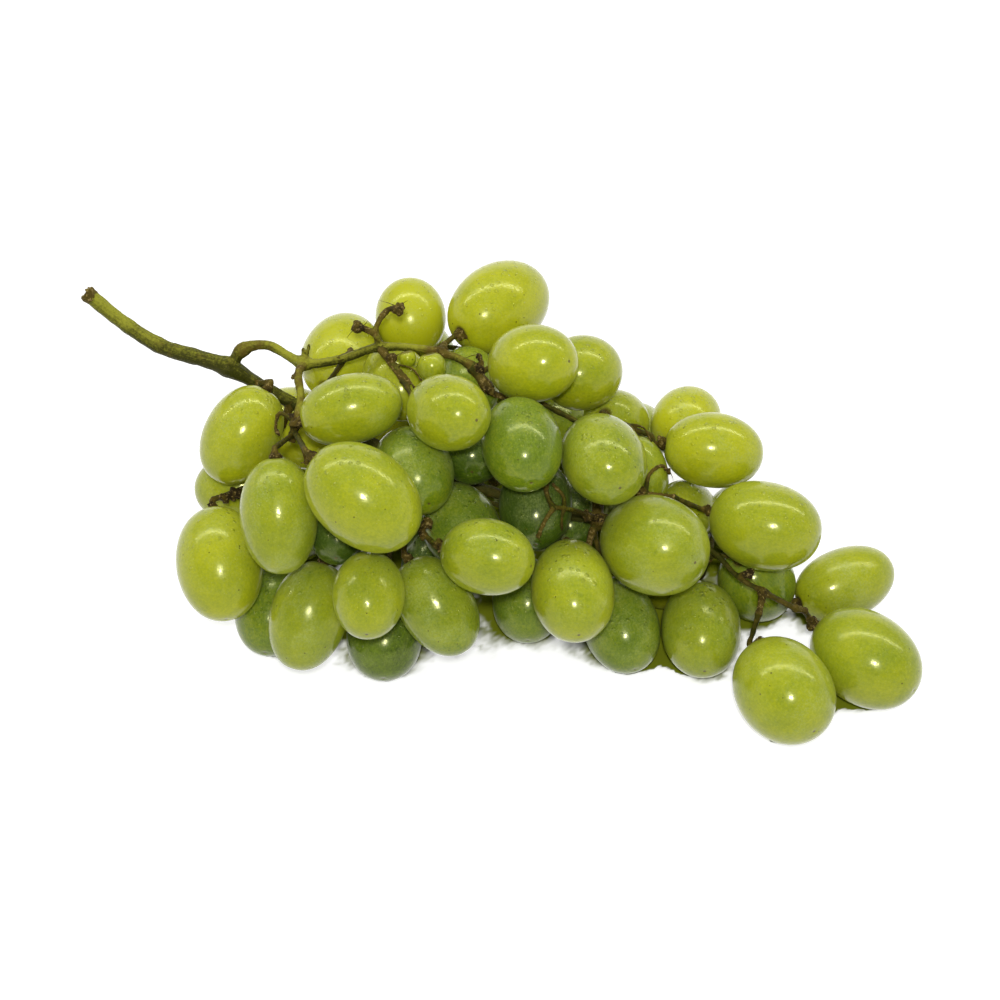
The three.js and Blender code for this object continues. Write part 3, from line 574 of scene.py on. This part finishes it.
def through(points, step):
    """A smooth line through the points, with a point about every step of its length.

    It is a centripetal Catmull-Rom line: each stretch is a cubic whose end slopes come from the
    neighbouring points, timed by the square roots of the distances between them.
    """
    points = np.asarray(points, float)
    padded = np.vstack([2 * points[0] - points[1], points, 2 * points[-1] - points[-2]])
    gaps = np.maximum(np.linalg.norm(np.diff(padded, axis=0), axis=1) ** 0.5, 1e-6)[:, None]
    before, here, there, after = padded[:-3], padded[1:-2], padded[2:-1], padded[3:]
    first, middle, last = gaps[:-2], gaps[1:-1], gaps[2:]
    slope_in = (here - before) / first - (there - before) / (first + middle) + (there - here) / middle
    slope_out = (there - here) / middle - (after - here) / (middle + last) + (after - there) / last
    slope_in, slope_out = slope_in * middle, slope_out * middle
    time = np.linspace(0, 1, 24, endpoint=False)[None, :, None]
    here, there = here[:, None], there[:, None]
    slope_in, slope_out = slope_in[:, None], slope_out[:, None]
    cubic = 2 * here - 2 * there + slope_in + slope_out
    square = -3 * here + 3 * there - 2 * slope_in - slope_out
    line = (cubic * time ** 3 + square * time ** 2 + slope_in * time + here).reshape(-1, 3)
    line = np.vstack([line, points[-1]])
    travelled = np.concatenate([[0], np.cumsum(np.linalg.norm(np.diff(line, axis=0), axis=1))])
    count = max(2, round(travelled[-1] / step))
    stops = np.linspace(0, travelled[-1], count + 1)
    return np.stack([np.interp(stops, travelled, line[:, k]) for k in range(3)], axis=-1)


def balls_in(middle, axis, half, radius):
    """Nine balls whose hull is the berry: centres along its axis, and the radii that touch its skin."""
    spread = half - radius ** 2 / half
    along = np.linspace(-1, 1, 9) * spread
    centres = middle + along[:, None] * axis
    radii = radius * np.sqrt(1 - along ** 2 / (half ** 2 - radius ** 2))
    return centres, radii


def draw_tight(start, end, bow, centres, radii, keep):
    """A line of points drawn tight from start to end, kept clear of the balls of every berry near.

    Each round moves each point half way to the middle of its neighbours, then straight out of the
    nearest ball of each berry that it is too close to.
    """
    count = max(4, round(float(np.linalg.norm(end - start)) / ROUTE_STEP))
    share = np.linspace(0, 1, count + 1)[:, None]
    line = start + (end - start) * share + bow * np.sin(math.pi * share)
    for _ in range(TIGHTENING_ROUNDS):
        line[1:-1] = line[1:-1] / 2 + (line[:-2] + line[2:]) / 4
        apart = line[1:-1, None, None] - centres[None]
        distance = np.linalg.norm(apart, axis=-1)
        gap = distance - radii[None]
        nearest = gap.argmin(axis=2)[..., None]
        near_gap = np.take_along_axis(gap, nearest, 2)[..., 0]
        near_way = np.take_along_axis(apart / distance[..., None], nearest[..., None], 2)[:, :, 0]
        short = np.maximum(keep - near_gap, 0)
        line[1:-1] += (near_way * short[..., None]).sum(axis=1)
    return line, float(short.max())


def bows_between(start, end):
    """Ways for a stalk to set out: straight, then bowed aside in eight directions by each bow size."""
    along = (end - start) / np.linalg.norm(end - start)
    first, second = axes_across(along)
    turns = np.arange(8) * math.pi / 4
    aside = np.cos(turns)[:, None] * first + np.sin(turns)[:, None] * second
    return np.vstack([np.zeros((1, 3))] + [aside * size for size in BOW_SIZES])


hung = {name: (where[0] / MM - BUNCH_ORIGIN, where[1], where[2] / MM, where[3] / MM)
        for name, where in berries.items()}
ball_sets = [balls_in(*where) for where in hung.values()]
ball_centres = np.array([centres for centres, _ in ball_sets])
ball_radii = np.array([radii for _, radii in ball_sets])
berry_middles = np.array([where[0] for where in hung.values()])


def stalk_route(name):
    """A berry's own stalk: from the nearest place on its branch, round the berries, to its scar."""
    middle, axis, half, radius = hung[name]
    depth = half * math.sqrt(1 - (SCAR_RADIUS / MM / radius) ** 2)
    scar = middle - axis * depth
    branch_line = through(route_of(name.rsplit("_", 1)[0]), 0.25)
    outer = branch_line[int(0.35 * len(branch_line)):]
    goal = scar - axis * 2 * COLLAR
    start = outer[np.linalg.norm(outer - goal, axis=1).argmin()]
    collar = scar - axis * (COLLAR + AIR)
    near = np.linalg.norm(berry_middles - start, axis=1) < STALK_REACH
    keep = STALK_RADIUS + AIR + SAG
    best, tightest = None, math.inf
    for bow in bows_between(start, collar):
        line, short = draw_tight(start, collar, bow, ball_centres[near], ball_radii[near], keep)
        if short < tightest:
            best, tightest = line, short
        if tightest < SAG:
            break
    return np.vstack([best, scar])


# A limb is a round tube. Its rings are kept too, so that the finished bark can be told how far
# along its limb each point is, which way round it, and how old the wood is there.
limb_points, limb_faces = [], []
ring_places, ring_across, ring_third, ring_notes = [], [], [], []


def add_limb(line, radii, sides, age, gloom, thickness_noise=0.05, ridges=0.0, seed=0):
    """A closed tube of the given radii along line, its sides a little uneven and ridged lengthwise.

    The radius at a ring is multiplied by 1 + a slow noise along it + ridges * cos(5 * turn).
    age and gloom say how the wood looks at each ring.
    """
    tangent = np.gradient(line, axis=0)
    tangent /= np.linalg.norm(tangent, axis=1)[:, None]
    across = np.empty_like(line)
    carried = axes_across(tangent[0])[0]
    for ring, along in enumerate(tangent):
        carried = carried - along * (carried @ along)
        carried /= np.linalg.norm(carried)
        across[ring] = carried
    third = np.cross(tangent, across)
    turn = 2 * math.pi * np.arange(sides) / sides
    draw = np.random.default_rng(seed)
    travelled = np.concatenate([[0], np.cumsum(np.linalg.norm(np.diff(line, axis=0), axis=1))])
    phases = draw.uniform(0, 2 * math.pi, 4)
    uneven = np.sin(travelled / 1.3 + phases[0]) + np.sin(travelled / 0.7 + phases[1])
    around = ridges * np.cos(5 * turn + phases[2]) + 0.6 * ridges * np.cos(7 * turn + phases[3])
    spread = radii[:, None] * (1 + thickness_noise * uneven[:, None] / 2 + around[None, :])
    rings = line[:, None] + spread[..., None] * (
        np.cos(turn)[None, :, None] * across[:, None] + np.sin(turn)[None, :, None] * third[:, None]
    )
    limb_faces.extend(tube_faces(len(line), sides, sum(map(len, limb_points))))
    limb_points.append(np.concatenate([rings.reshape(-1, 3), [line[0], line[-1]]]))
    ring_places.append(line)
    ring_across.append(across)
    ring_third.append(third)
    ring_notes.append(np.stack([travelled, age + 0 * travelled, gloom + 0 * travelled], axis=-1))


def add_wart(place, radius, age, seed=0):
    """A lump of bark: a ball of uneven radius."""
    angle = np.linspace(0, math.pi, 7)
    line = np.array(place, float) + np.stack([0 * angle, 0 * angle, -radius * np.cos(angle)], axis=-1)
    line[0, 2] += 0.02 * radius
    line[-1, 2] -= 0.02 * radius
    radii = np.maximum(radius * np.sin(angle), 0.03 * radius)
    add_limb(line, radii, 8, age, 0.7, 0.1, 0.05, seed)


def swelling(travelled, place, width):
    """1 at place, falling to 0 within about twice width either way."""
    return np.exp(-(((travelled - place) / width) ** 2))


BRANCH_SIDES = 14
STALK_SIDES = 10
LIMB_STEP = 0.6
ROOT_LENGTH = 1.2  # how far the swelling reaches where a stalk or twig springs from its branch
CUSHION, CUSHION_LENGTH = 0.70, 1.5  # the swelling where a stalk meets its berry
CUSHION_WARTS = 9
CUT_WARTS = 15

for number, name in enumerate(BRANCHES):
    _, _, _, thick, thin = BRANCHES[name]
    knots = route_of(name)
    line = through(knots, LIMB_STEP)
    share = np.linspace(0, 1, len(line))
    length = LIMB_STEP * (len(line) - 1)
    radii = thick + (thin - thick) * share + 0.25 * swelling(share * length, 0, 2.0)
    for knot, extra, width in SWELLINGS.get(name, []):
        place = np.linalg.norm(line - knots[knot], axis=1).argmin() / (len(line) - 1) * length
        radii = radii + extra * swelling(share * length, place, width)
    gloom = np.interp(share, *GLOOM.get(name, ([0, 1], [1.2, 1.2])))
    age = np.interp(share, *AGE.get(name, ([0, 1], [0.5, 0.75])))
    add_limb(line, radii, BRANCH_SIDES, age, gloom, 0.05, 0.03, number)

for number, (parent, knot, route, thick, thin, gloom, wear) in enumerate(BARE_TWIGS):
    line = through(np.vstack([route_of(parent)[knot], route]), LIMB_STEP / 2)
    share = np.linspace(0, 1, len(line))
    radii = thick + (thin - thick) * share
    radii = radii + 0.3 * swelling(share * len(line) * LIMB_STEP / 2, 0, ROOT_LENGTH)
    age = (0.25 + 0.6 * share) * wear
    add_limb(line, radii, STALK_SIDES, age, gloom, 0.14, 0.05, 50 + number)

for number, name in enumerate(hung):
    line = through(stalk_route(name), LIMB_STEP / 1.5)
    travelled = np.linalg.norm(line - line[-1], axis=1)
    radii = STALK_RADIUS + 0.05 + CUSHION * swelling(travelled, 0, CUSHION_LENGTH)
    radii = radii + 0.35 * swelling(np.linalg.norm(line - line[0], axis=1), 0, ROOT_LENGTH)
    age = 0.35 + 0.5 * swelling(travelled, 0, 1.6 * CUSHION_LENGTH)
    add_limb(line, radii, STALK_SIDES, age, 0.9, 0.10, 0.05, 200 + number)
    draw = np.random.default_rng(300 + number)
    axis = hung[name][1]
    first, second = axes_across(axis)
    for wart in range(CUSHION_WARTS):
        turn = 2 * math.pi * (wart + draw.uniform(-0.3, 0.3)) / CUSHION_WARTS
        aside = math.cos(turn) * first + math.sin(turn) * second
        place = line[-1] - axis * draw.uniform(0.35, 1.3) + aside * draw.uniform(0.85, 1.3)
        add_wart(place, draw.uniform(0.24, 0.5), draw.uniform(0.6, 0.95), 1000 + number * 10 + wart)

# Ragged bark round the cut end, then the knobs, each tied to the nearest wood.
cut_line = through(route_of("rachis"), LIMB_STEP)
cut_axis = cut_line[1] - cut_line[0]
cut_axis /= np.linalg.norm(cut_axis)
first, second = axes_across(cut_axis)
draw = np.random.default_rng(7)
for wart in range(CUT_WARTS):
    turn = 2 * math.pi * wart / CUT_WARTS
    aside = math.cos(turn) * first + math.sin(turn) * second
    place = cut_line[0] + aside * draw.uniform(1.3, 1.7) + cut_axis * draw.uniform(-0.5, 0.5)
    add_wart(place, draw.uniform(0.2, 0.38), draw.uniform(0.5, 0.9), 900 + wart)

hair_starts = []
for number, (place, spread, size, count, age, hairs) in enumerate(KNOBS):
    draw = np.random.default_rng(700 + number)
    wood = np.concatenate(ring_places)
    anchor = wood[np.linalg.norm(wood - place, axis=1).argmin()]
    reach = np.array(place) - anchor
    if np.linalg.norm(reach) > 0.8:
        line = anchor + reach * np.linspace(0, 1, 6)[:, None]
        add_limb(line, np.full(6, 0.55), STALK_SIDES, age * 0.8, 0.9, 0.1, 0.05, 600 + number)
    for wart in range(count):
        aside = draw.normal(size=3)
        aside *= spread * draw.uniform(0.25, 1.0) ** 0.5 / np.linalg.norm(aside) * 0.75
        radius = size * draw.uniform(0.55, 1.25)
        add_wart(place + aside, radius, age * draw.uniform(0.7, 1.1), 2000 + number * 40 + wart)
    for hair in range(hairs):
        aside = draw.normal(size=3) + np.array([0, -0.4, 0.5])
        aside /= np.linalg.norm(aside)
        hair_starts.append((place + aside * spread * 0.6, aside, draw.uniform(1.4, 2.4)))

STEM_VOXEL = 0.27
SMOOTHING = 1
FACES_KEPT = 0.5  # the share of the faces that the shape needs, most of them where it bends

raw_stem = bpy.data.meshes.new("stem_limbs")
raw_stem.from_pydata(np.concatenate(limb_points).tolist(), [], limb_faces)
limbs = bpy.data.objects.new("stem_limbs", raw_stem)
bpy.context.scene.collection.objects.link(limbs)
grow = limbs.modifiers.new("grow_together", "REMESH")
grow.mode = "VOXEL"
grow.voxel_size = STEM_VOXEL
soften = limbs.modifiers.new("soften", "SMOOTH")
soften.factor = 0.5
soften.iterations = SMOOTHING
thin_out = limbs.modifiers.new("thin_out", "DECIMATE")
thin_out.ratio = FACES_KEPT
shaped = limbs.evaluated_get(bpy.context.evaluated_depsgraph_get())
bark_mesh = bpy.data.meshes.new_from_object(shaped)
bpy.data.objects.remove(limbs)

bark_points = vectors_of(bark_mesh.vertices, "co")
bark_normals = vectors_of(bark_mesh.vertex_normals, "vector")
all_places = np.concatenate(ring_places)
ring_reach = (all_places ** 2).sum(axis=1)
nearest_ring = np.concatenate([
    (ring_reach - 2 * block @ all_places.T).argmin(axis=1)
    for block in np.array_split(bark_points, 1 + len(bark_points) // 2000)
])
aside = bark_points - all_places[nearest_ring]
turn = np.arctan2(
    (aside * np.concatenate(ring_third)[nearest_ring]).sum(axis=1),
    (aside * np.concatenate(ring_across)[nearest_ring]).sum(axis=1),
)
notes = np.concatenate(ring_notes)[nearest_ring]


def lumps(points, size, seed):
    """Smooth bumps about size across: the mean of twelve sine waves in drawn directions."""
    draw = np.random.default_rng(seed)
    ways = draw.normal(size=(12, 3))
    ways *= (2 * math.pi / size) / np.linalg.norm(ways, axis=1)[:, None]
    return np.sin(points @ ways.T + draw.uniform(0, 2 * math.pi, 12)).mean(axis=1)


worn = np.clip(notes[:, 1], 0, 1)
raised = (0.06 + 0.30 * worn) * lumps(bark_points, 1.1, 5) + 0.14 * worn * lumps(bark_points, 0.6, 6)
bark_points += bark_normals * raised[:, None]
bark_mesh.vertices.foreach_set("co", ((bark_points + BUNCH_ORIGIN) * MM).astype(np.float32).ravel())
bark_mesh.polygons.foreach_set("use_smooth", np.ones(len(bark_mesh.polygons), bool))
note_on_points(bark_mesh, "age", worn)
note_on_points(bark_mesh, "gloom", notes[:, 2])
note_on_points(bark_mesh, "upward", upward_of(bark_mesh))
note_on_points(bark_mesh, "grain", np.stack([np.cos(turn), np.sin(turn), notes[:, 0] * 0.25], axis=-1))
note_on_points(bark_mesh, "from_cut", np.linalg.norm(bark_points - all_places[0], axis=1))

YOUNG_WOOD = (0.330, 0.335, 0.028, 1)
OLD_WOOD = (0.030, 0.034, 0.003, 1)
BROWN_BARK = (0.122, 0.086, 0.013, 1)
DEAD_BARK = (0.024, 0.015, 0.006, 1)
CORK_PALE = (0.400, 0.290, 0.100, 1)
CUT_WOOD = (0.380, 0.290, 0.100, 1)


def vine_bark(name):
    """Green wood, streaked lengthwise and darkening to olive, then brown, and black where it is dead, with
    painted shade on its undersides.
    """
    material = bpy.data.materials.new(name)
    material.use_nodes = True
    tree = material.node_tree
    shader = tree.nodes["Principled BSDF"]
    where = lay(tree, "ShaderNodeTexCoord").outputs["Object"]
    grain = noted(tree, "grain", "Vector")
    age = noted(tree, "age")

    streak = cloudy(tree, stretched(tree, grain, (4.5, 4.5, 0.6)), 1.0, 4, 0.65)
    blotch = cloudy(tree, where, 240, 4, 0.6)
    shade = reckon(tree, "MULTIPLY_ADD", streak, 0.9, noted(tree, "gloom"))
    shade = reckon(tree, "MULTIPLY_ADD", blotch, 0.7, shade)
    # Painted shade: darker on the undersides and lighter on top, as light from above falls.
    shade = reckon(tree, "MULTIPLY_ADD", noted(tree, "upward"), -0.55, shade)
    speckle = cloudy(tree, where, 1700, 3, 0.7)
    shade = reckon(tree, "ADD", shade, reckon(tree, "MULTIPLY_ADD", speckle, 1.2, -0.6))
    colour = tint(tree, step_between(tree, shade, 0.35, 1.35), YOUNG_WOOD, OLD_WOOD)
    patch = cloudy(tree, where, 420, 4, 0.65)
    brown = step_between(tree, reckon(tree, "MULTIPLY_ADD", patch, 1.1, age), 0.75, 1.25)
    colour = tint(tree, brown, colour, BROWN_BARK)
    dead = step_between(tree, reckon(tree, "MULTIPLY_ADD", blotch, 0.9, age), 1.0, 1.45)
    colour = tint(tree, dead, colour, DEAD_BARK)
    fleck = step_between(tree, cloudy(tree, where, 1300, 3, 0.7), 0.54, 0.64)
    cork = reckon(tree, "MULTIPLY", fleck, step_between(tree, age, 0.40, 0.70, 0.0, 0.75))
    colour = tint(tree, cork, colour, CORK_PALE)
    end = noted(tree, "from_cut")
    cut = step_between(tree, end, 1.3, 2.1, 0.9, 0.0)
    colour = tint(tree, cut, colour, CUT_WOOD)
    tree.links.new(colour, shader.inputs["Base Color"])

    fibre = cloudy(tree, stretched(tree, grain, (7, 7, 1.2)), 1.0, 3, 0.6)
    crumb = cloudy(tree, where, 2000, 3, 0.6)
    height = reckon(tree, "MULTIPLY_ADD", crumb, 0.6, fibre)
    bump = lay(tree, "ShaderNodeBump", {"Height": height, "Strength": 0.8, "Distance": 0.22 * MM})
    tree.links.new(bump.outputs[0], shader.inputs["Normal"])
    tree.links.new(reckon(tree, "MULTIPLY_ADD", age, 0.30, 0.40), shader.inputs["Roughness"])
    shader.inputs["Specular IOR Level"].default_value = 0.25
    shader.inputs["Specular Tint"].default_value = (1.0, 0.85, 0.35, 1)
    return material


bark = vine_bark("vine_bark")
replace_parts(finish_piece("stem_bark", bark_mesh, bark), "stem")

# Stray fibres on the knobs: thin tapered threads that rise and curl over. At share t of its
# length a thread is at start + length * (t * way + t^2 * curl), and its radius falls as 1 - 0.8 t.
HAIR_RADIUS = 0.15
HAIR_RINGS = 9
HAIR_SIDES = 5

draw = np.random.default_rng(11)
hair_points, hair_faces = [], []
for start, way, length in hair_starts:
    share = np.linspace(0, 1, HAIR_RINGS)[:, None]
    curl = draw.normal(size=3) * 0.6 + np.array([0, 0, -0.6])
    line = start + length * (share * way + share ** 2 * curl)
    tangent = np.gradient(line, axis=0)
    tangent /= np.linalg.norm(tangent, axis=1)[:, None]
    across = np.cross(tangent, axes_across(way)[0])
    across /= np.linalg.norm(across, axis=1)[:, None]
    third = np.cross(tangent, across)
    turn = 2 * math.pi * np.arange(HAIR_SIDES) / HAIR_SIDES
    ring = np.cos(turn)[None, :, None] * across[:, None] + np.sin(turn)[None, :, None] * third[:, None]
    rings = line[:, None] + HAIR_RADIUS * (1 - 0.8 * share[..., None]) * ring
    hair_faces.extend(tube_faces(HAIR_RINGS, HAIR_SIDES, sum(map(len, hair_points))))
    hair_points.append(np.vstack([rings.reshape(-1, 3), line[:1], line[-1:]]))

fibre_mesh = bpy.data.meshes.new("stem_fibres")
hair_points = (np.concatenate(hair_points) + BUNCH_ORIGIN) * MM
fibre_mesh.from_pydata(hair_points.tolist(), [], hair_faces)
fibre_mesh.polygons.foreach_set("use_smooth", np.ones(len(fibre_mesh.polygons), bool))
for what, value in (("age", 0.8), ("gloom", 0.9), ("upward", 0.5), ("from_cut", 50.0)):
    note_on_points(fibre_mesh, what, np.full(len(hair_points), value))
note_on_points(fibre_mesh, "grain", hair_points / MM * 0.3)
finish_piece("stem_fibres", fibre_mesh, bark)


# ---------------------------------------------------------------------------------------------
# Two berries that never swelled: hard green beads, a few millimetres across. They are stuck to the
# shoulder branch, and grown into it in the frame.

UNSWELLED = [((-17, 22, 60), 3.5, 0.62), ((-23, 24, 61), 2.1, 0.55)]  # place, radius, ripeness
BEAD_LENGTH = 1.03  # as a share of its width
BEAD_WAY = np.array([0.2, -0.5, -0.84])

for number, (place, radius, ripeness_and_shade) in enumerate(UNSWELLED):
    middle = (np.array(place) + BUNCH_ORIGIN) * MM
    draw = np.random.default_rng(500 + number)
    bead = skin_of_berry("shot_berry", middle, BEAD_WAY, radius * BEAD_LENGTH * MM, radius * MM, draw)
    note_looks(bead, ripeness_and_shade, haze=0.6, damp=0.8)
    finish_piece(f"shot_berry_{number + 1}", bead, berry_skin)


# ---------------------------------------------------------------------------------------------
# The table: a plain white board that keeps the bunch's shadow. Where little of the sky is to be
# seen from it, between the berries and close under one, a painted shadow in the fruit's green darkens it.

TABLE_HALF = 3.0
FINE_HALF = (122 * MM, 92 * MM)  # the part of the table under the bunch, laid in small squares
FINE_STEP = 1.0 * MM
SKY_WAYS = 96
OVERHEAD = 80 * MM
BESIDE = 12 * MM
TABLE_WHITE = (0.58, 0.58, 0.58, 1)
TABLE_GLOW = 0.72  # added to the white where the table is looked at
PAINTED_SHADOW_GREEN = (0.20, 0.23, 0.012, 1)


def seen_plainly(tree):
    """1 where the eye sees a thing directly, or mirrored or through something clear, and 0 elsewhere."""
    path = lay(tree, "ShaderNodeLightPath")
    seen = reckon(tree, "MAXIMUM", path.outputs["Is Camera Ray"], path.outputs["Is Glossy Ray"])
    return reckon(tree, "MAXIMUM", seen, path.outputs["Is Transmission Ray"])


def squeezed(vectors, axis, half, radius):
    """The vectors, measured so that a berry becomes a ball of radius 1."""
    return vectors / radius + np.outer(vectors @ axis, axis) * (1 / half - 1 / radius)


def reach_of_sight(places, ways):
    """How far one sees from each place, each way, before a berry that is near enough to count.

    A line of sight meets a squeezed berry where t * t * way.way + 2 * t * way.place + place.place = 1.
    """
    reach = np.full((len(places), len(ways)), np.inf, np.float32)
    for middle, axis, half, radius in berries.values():
        near = np.linalg.norm(places - middle, axis=1) < OVERHEAD + half
        place = squeezed(places[near] - middle, axis, half, radius).astype(np.float32)
        way = squeezed(ways, axis, half, radius).astype(np.float32)
        square = (way ** 2).sum(axis=1)
        outside = ((place ** 2).sum(axis=1) - 1)[:, None]
        toward = -(place @ way.T)
        under_root = toward ** 2 - square * outside
        meets = (toward - np.sqrt(np.maximum(under_root, 0))) / square
        meets = np.where((under_root > 0) & (toward > 0), np.maximum(meets, 0), np.inf)
        reach[near] = np.minimum(reach[near], np.where(outside < 0, 0, meets))
    return reach


# The ways go round in golden-angle turns, and lie closer together overhead, as the light counts.
spot = np.arange(SKY_WAYS) + 0.5
turn = spot * math.pi * (3 - math.sqrt(5))
lean = np.sqrt(spot / SKY_WAYS)
sky_ways = np.stack([lean * np.cos(turn), lean * np.sin(turn), np.sqrt(1 - lean ** 2)], axis=-1)

grid_lines = []
for centre, fine_half in zip(view_middle[:2], FINE_HALF):
    fine = np.arange(-fine_half, fine_half + FINE_STEP / 2, FINE_STEP) + centre
    grid_lines.append(np.concatenate([[-TABLE_HALF], fine, [TABLE_HALF]]))
columns, rows = len(grid_lines[0]), len(grid_lines[1])
across, along = np.meshgrid(grid_lines[0], grid_lines[1])
table_points = np.stack([across.ravel(), along.ravel(), np.zeros(rows * columns)], axis=-1)
place = np.arange(rows * columns).reshape(rows, columns)
squares = np.stack([place[:-1, :-1], place[:-1, 1:], place[1:, 1:], place[1:, :-1]], axis=-1)
table_mesh = bpy.data.meshes.new("table")
table_mesh.from_pydata(table_points.tolist(), [], squares.reshape(-1, 4).tolist())
reach = reach_of_sight(table_points, sky_ways)
note_on_points(table_mesh, "open_sky", (reach > OVERHEAD).mean(axis=1))
note_on_points(table_mesh, "open_beside", (reach > BESIDE).mean(axis=1))
table = bpy.data.objects.new("table", table_mesh)
bpy.context.scene.collection.objects.link(table)

board = bpy.data.materials.new("white_board")
board.use_nodes = True
board.cycles.emission_sampling = "NONE"  # it only has to look white, and lights nothing
tree = board.node_tree
board_shader = tree.nodes["Principled BSDF"]
board_shader.inputs["Roughness"].default_value = 0.9
board_shader.inputs["Specular IOR Level"].default_value = 0.0
board_shader.inputs["Emission Color"].default_value = (1, 1, 1, 1)
# Painted shadow: the board turns dark green where the berries hide most of its sky, and stops glowing
# there.
clear_of_painted_shadow = step_between(tree, noted(tree, "open_sky"), 0.14, 0.27)
untouched = step_between(tree, noted(tree, "open_beside"), 0.27, 0.31)
clear_of_painted_shadow = reckon(tree, "MINIMUM", clear_of_painted_shadow, untouched)
tree.links.new(tint(tree, clear_of_painted_shadow, PAINTED_SHADOW_GREEN, TABLE_WHITE), board_shader.inputs["Base Color"])
glow = reckon(tree, "MULTIPLY", reckon(tree, "MULTIPLY", seen_plainly(tree), TABLE_GLOW), clear_of_painted_shadow)
tree.links.new(glow, board_shader.inputs["Emission Strength"])
table_mesh.materials.append(board)


# ---------------------------------------------------------------------------------------------
# The light: a white room with a grey ceiling, a long narrow lamp high on the far side, and a small
# lamp by the eye. The two lamps make the arc and the spot that shine on every berry.

ROOM_LIGHT = 0.30
CEILING_GREY = 0.22
LONG_LAMP_RADIANCE = 16
SMALL_LAMP_RADIANCE = 480

world = bpy.data.worlds.new("white_room")
world.use_nodes = True
tree = world.node_tree
strength = step_between(tree, seen_plainly(tree), 0, 1, ROOM_LIGHT, 1.0)
tree.links.new(strength, tree.nodes["Background"].inputs["Strength"])
tree.nodes["Background"].inputs["Color"].default_value = (1, 1, 1, 1)
bpy.context.scene.world = world


ceiling_mesh = bpy.data.meshes.new("ceiling")
ceiling_mesh.from_pydata([(-6, -6, 2.5), (-6, 6, 2.5), (6, 6, 2.5), (6, -6, 2.5)], [], [(0, 1, 2, 3)])
ceiling = bpy.data.objects.new("ceiling", ceiling_mesh)
bpy.context.scene.collection.objects.link(ceiling)

grey = bpy.data.materials.new("ceiling_grey")
grey.use_nodes = True
grey_shader = grey.node_tree.nodes["Principled BSDF"]
grey_shader.inputs["Base Color"].default_value = (0, 0, 0, 1)
grey_shader.inputs["Specular IOR Level"].default_value = 0.0
grey_shader.inputs["Emission Color"].default_value = (1, 1, 1, 1)
grey_shader.inputs["Emission Strength"].default_value = CEILING_GREY
ceiling_mesh.materials.append(grey)


def add_lamp(name, place, aim, size, size_y, shape, radiance):
    """A flat lamp that faces aim. Its power is pi times its area times the brightness of its face."""
    data = bpy.data.lights.new(name, "AREA")
    data.shape = shape
    data.size = size
    data.size_y = size_y
    area = size * size_y * (math.pi / 4 if shape == "ELLIPSE" else 1)
    data.energy = math.pi * area * radiance
    lamp = bpy.data.objects.new(name, data)
    lamp.location = place
    lamp.rotation_euler = Vector(aim - place).to_track_quat("-Z", "Y").to_euler()
    bpy.context.scene.collection.objects.link(lamp)


high_far = np.array([0, math.cos(math.radians(67)), math.sin(math.radians(67))])
add_lamp("long_lamp", view_middle + 1.2 * high_far, view_middle, 3.4, 0.08, "RECTANGLE", LONG_LAMP_RADIANCE)
beside_eye = view_middle + toward_eye * 0.6 + np.array([0, 0.03, 0.03])
add_lamp("small_lamp", beside_eye, view_middle, 0.04, 0.04, "ELLIPSE", SMALL_LAMP_RADIANCE)
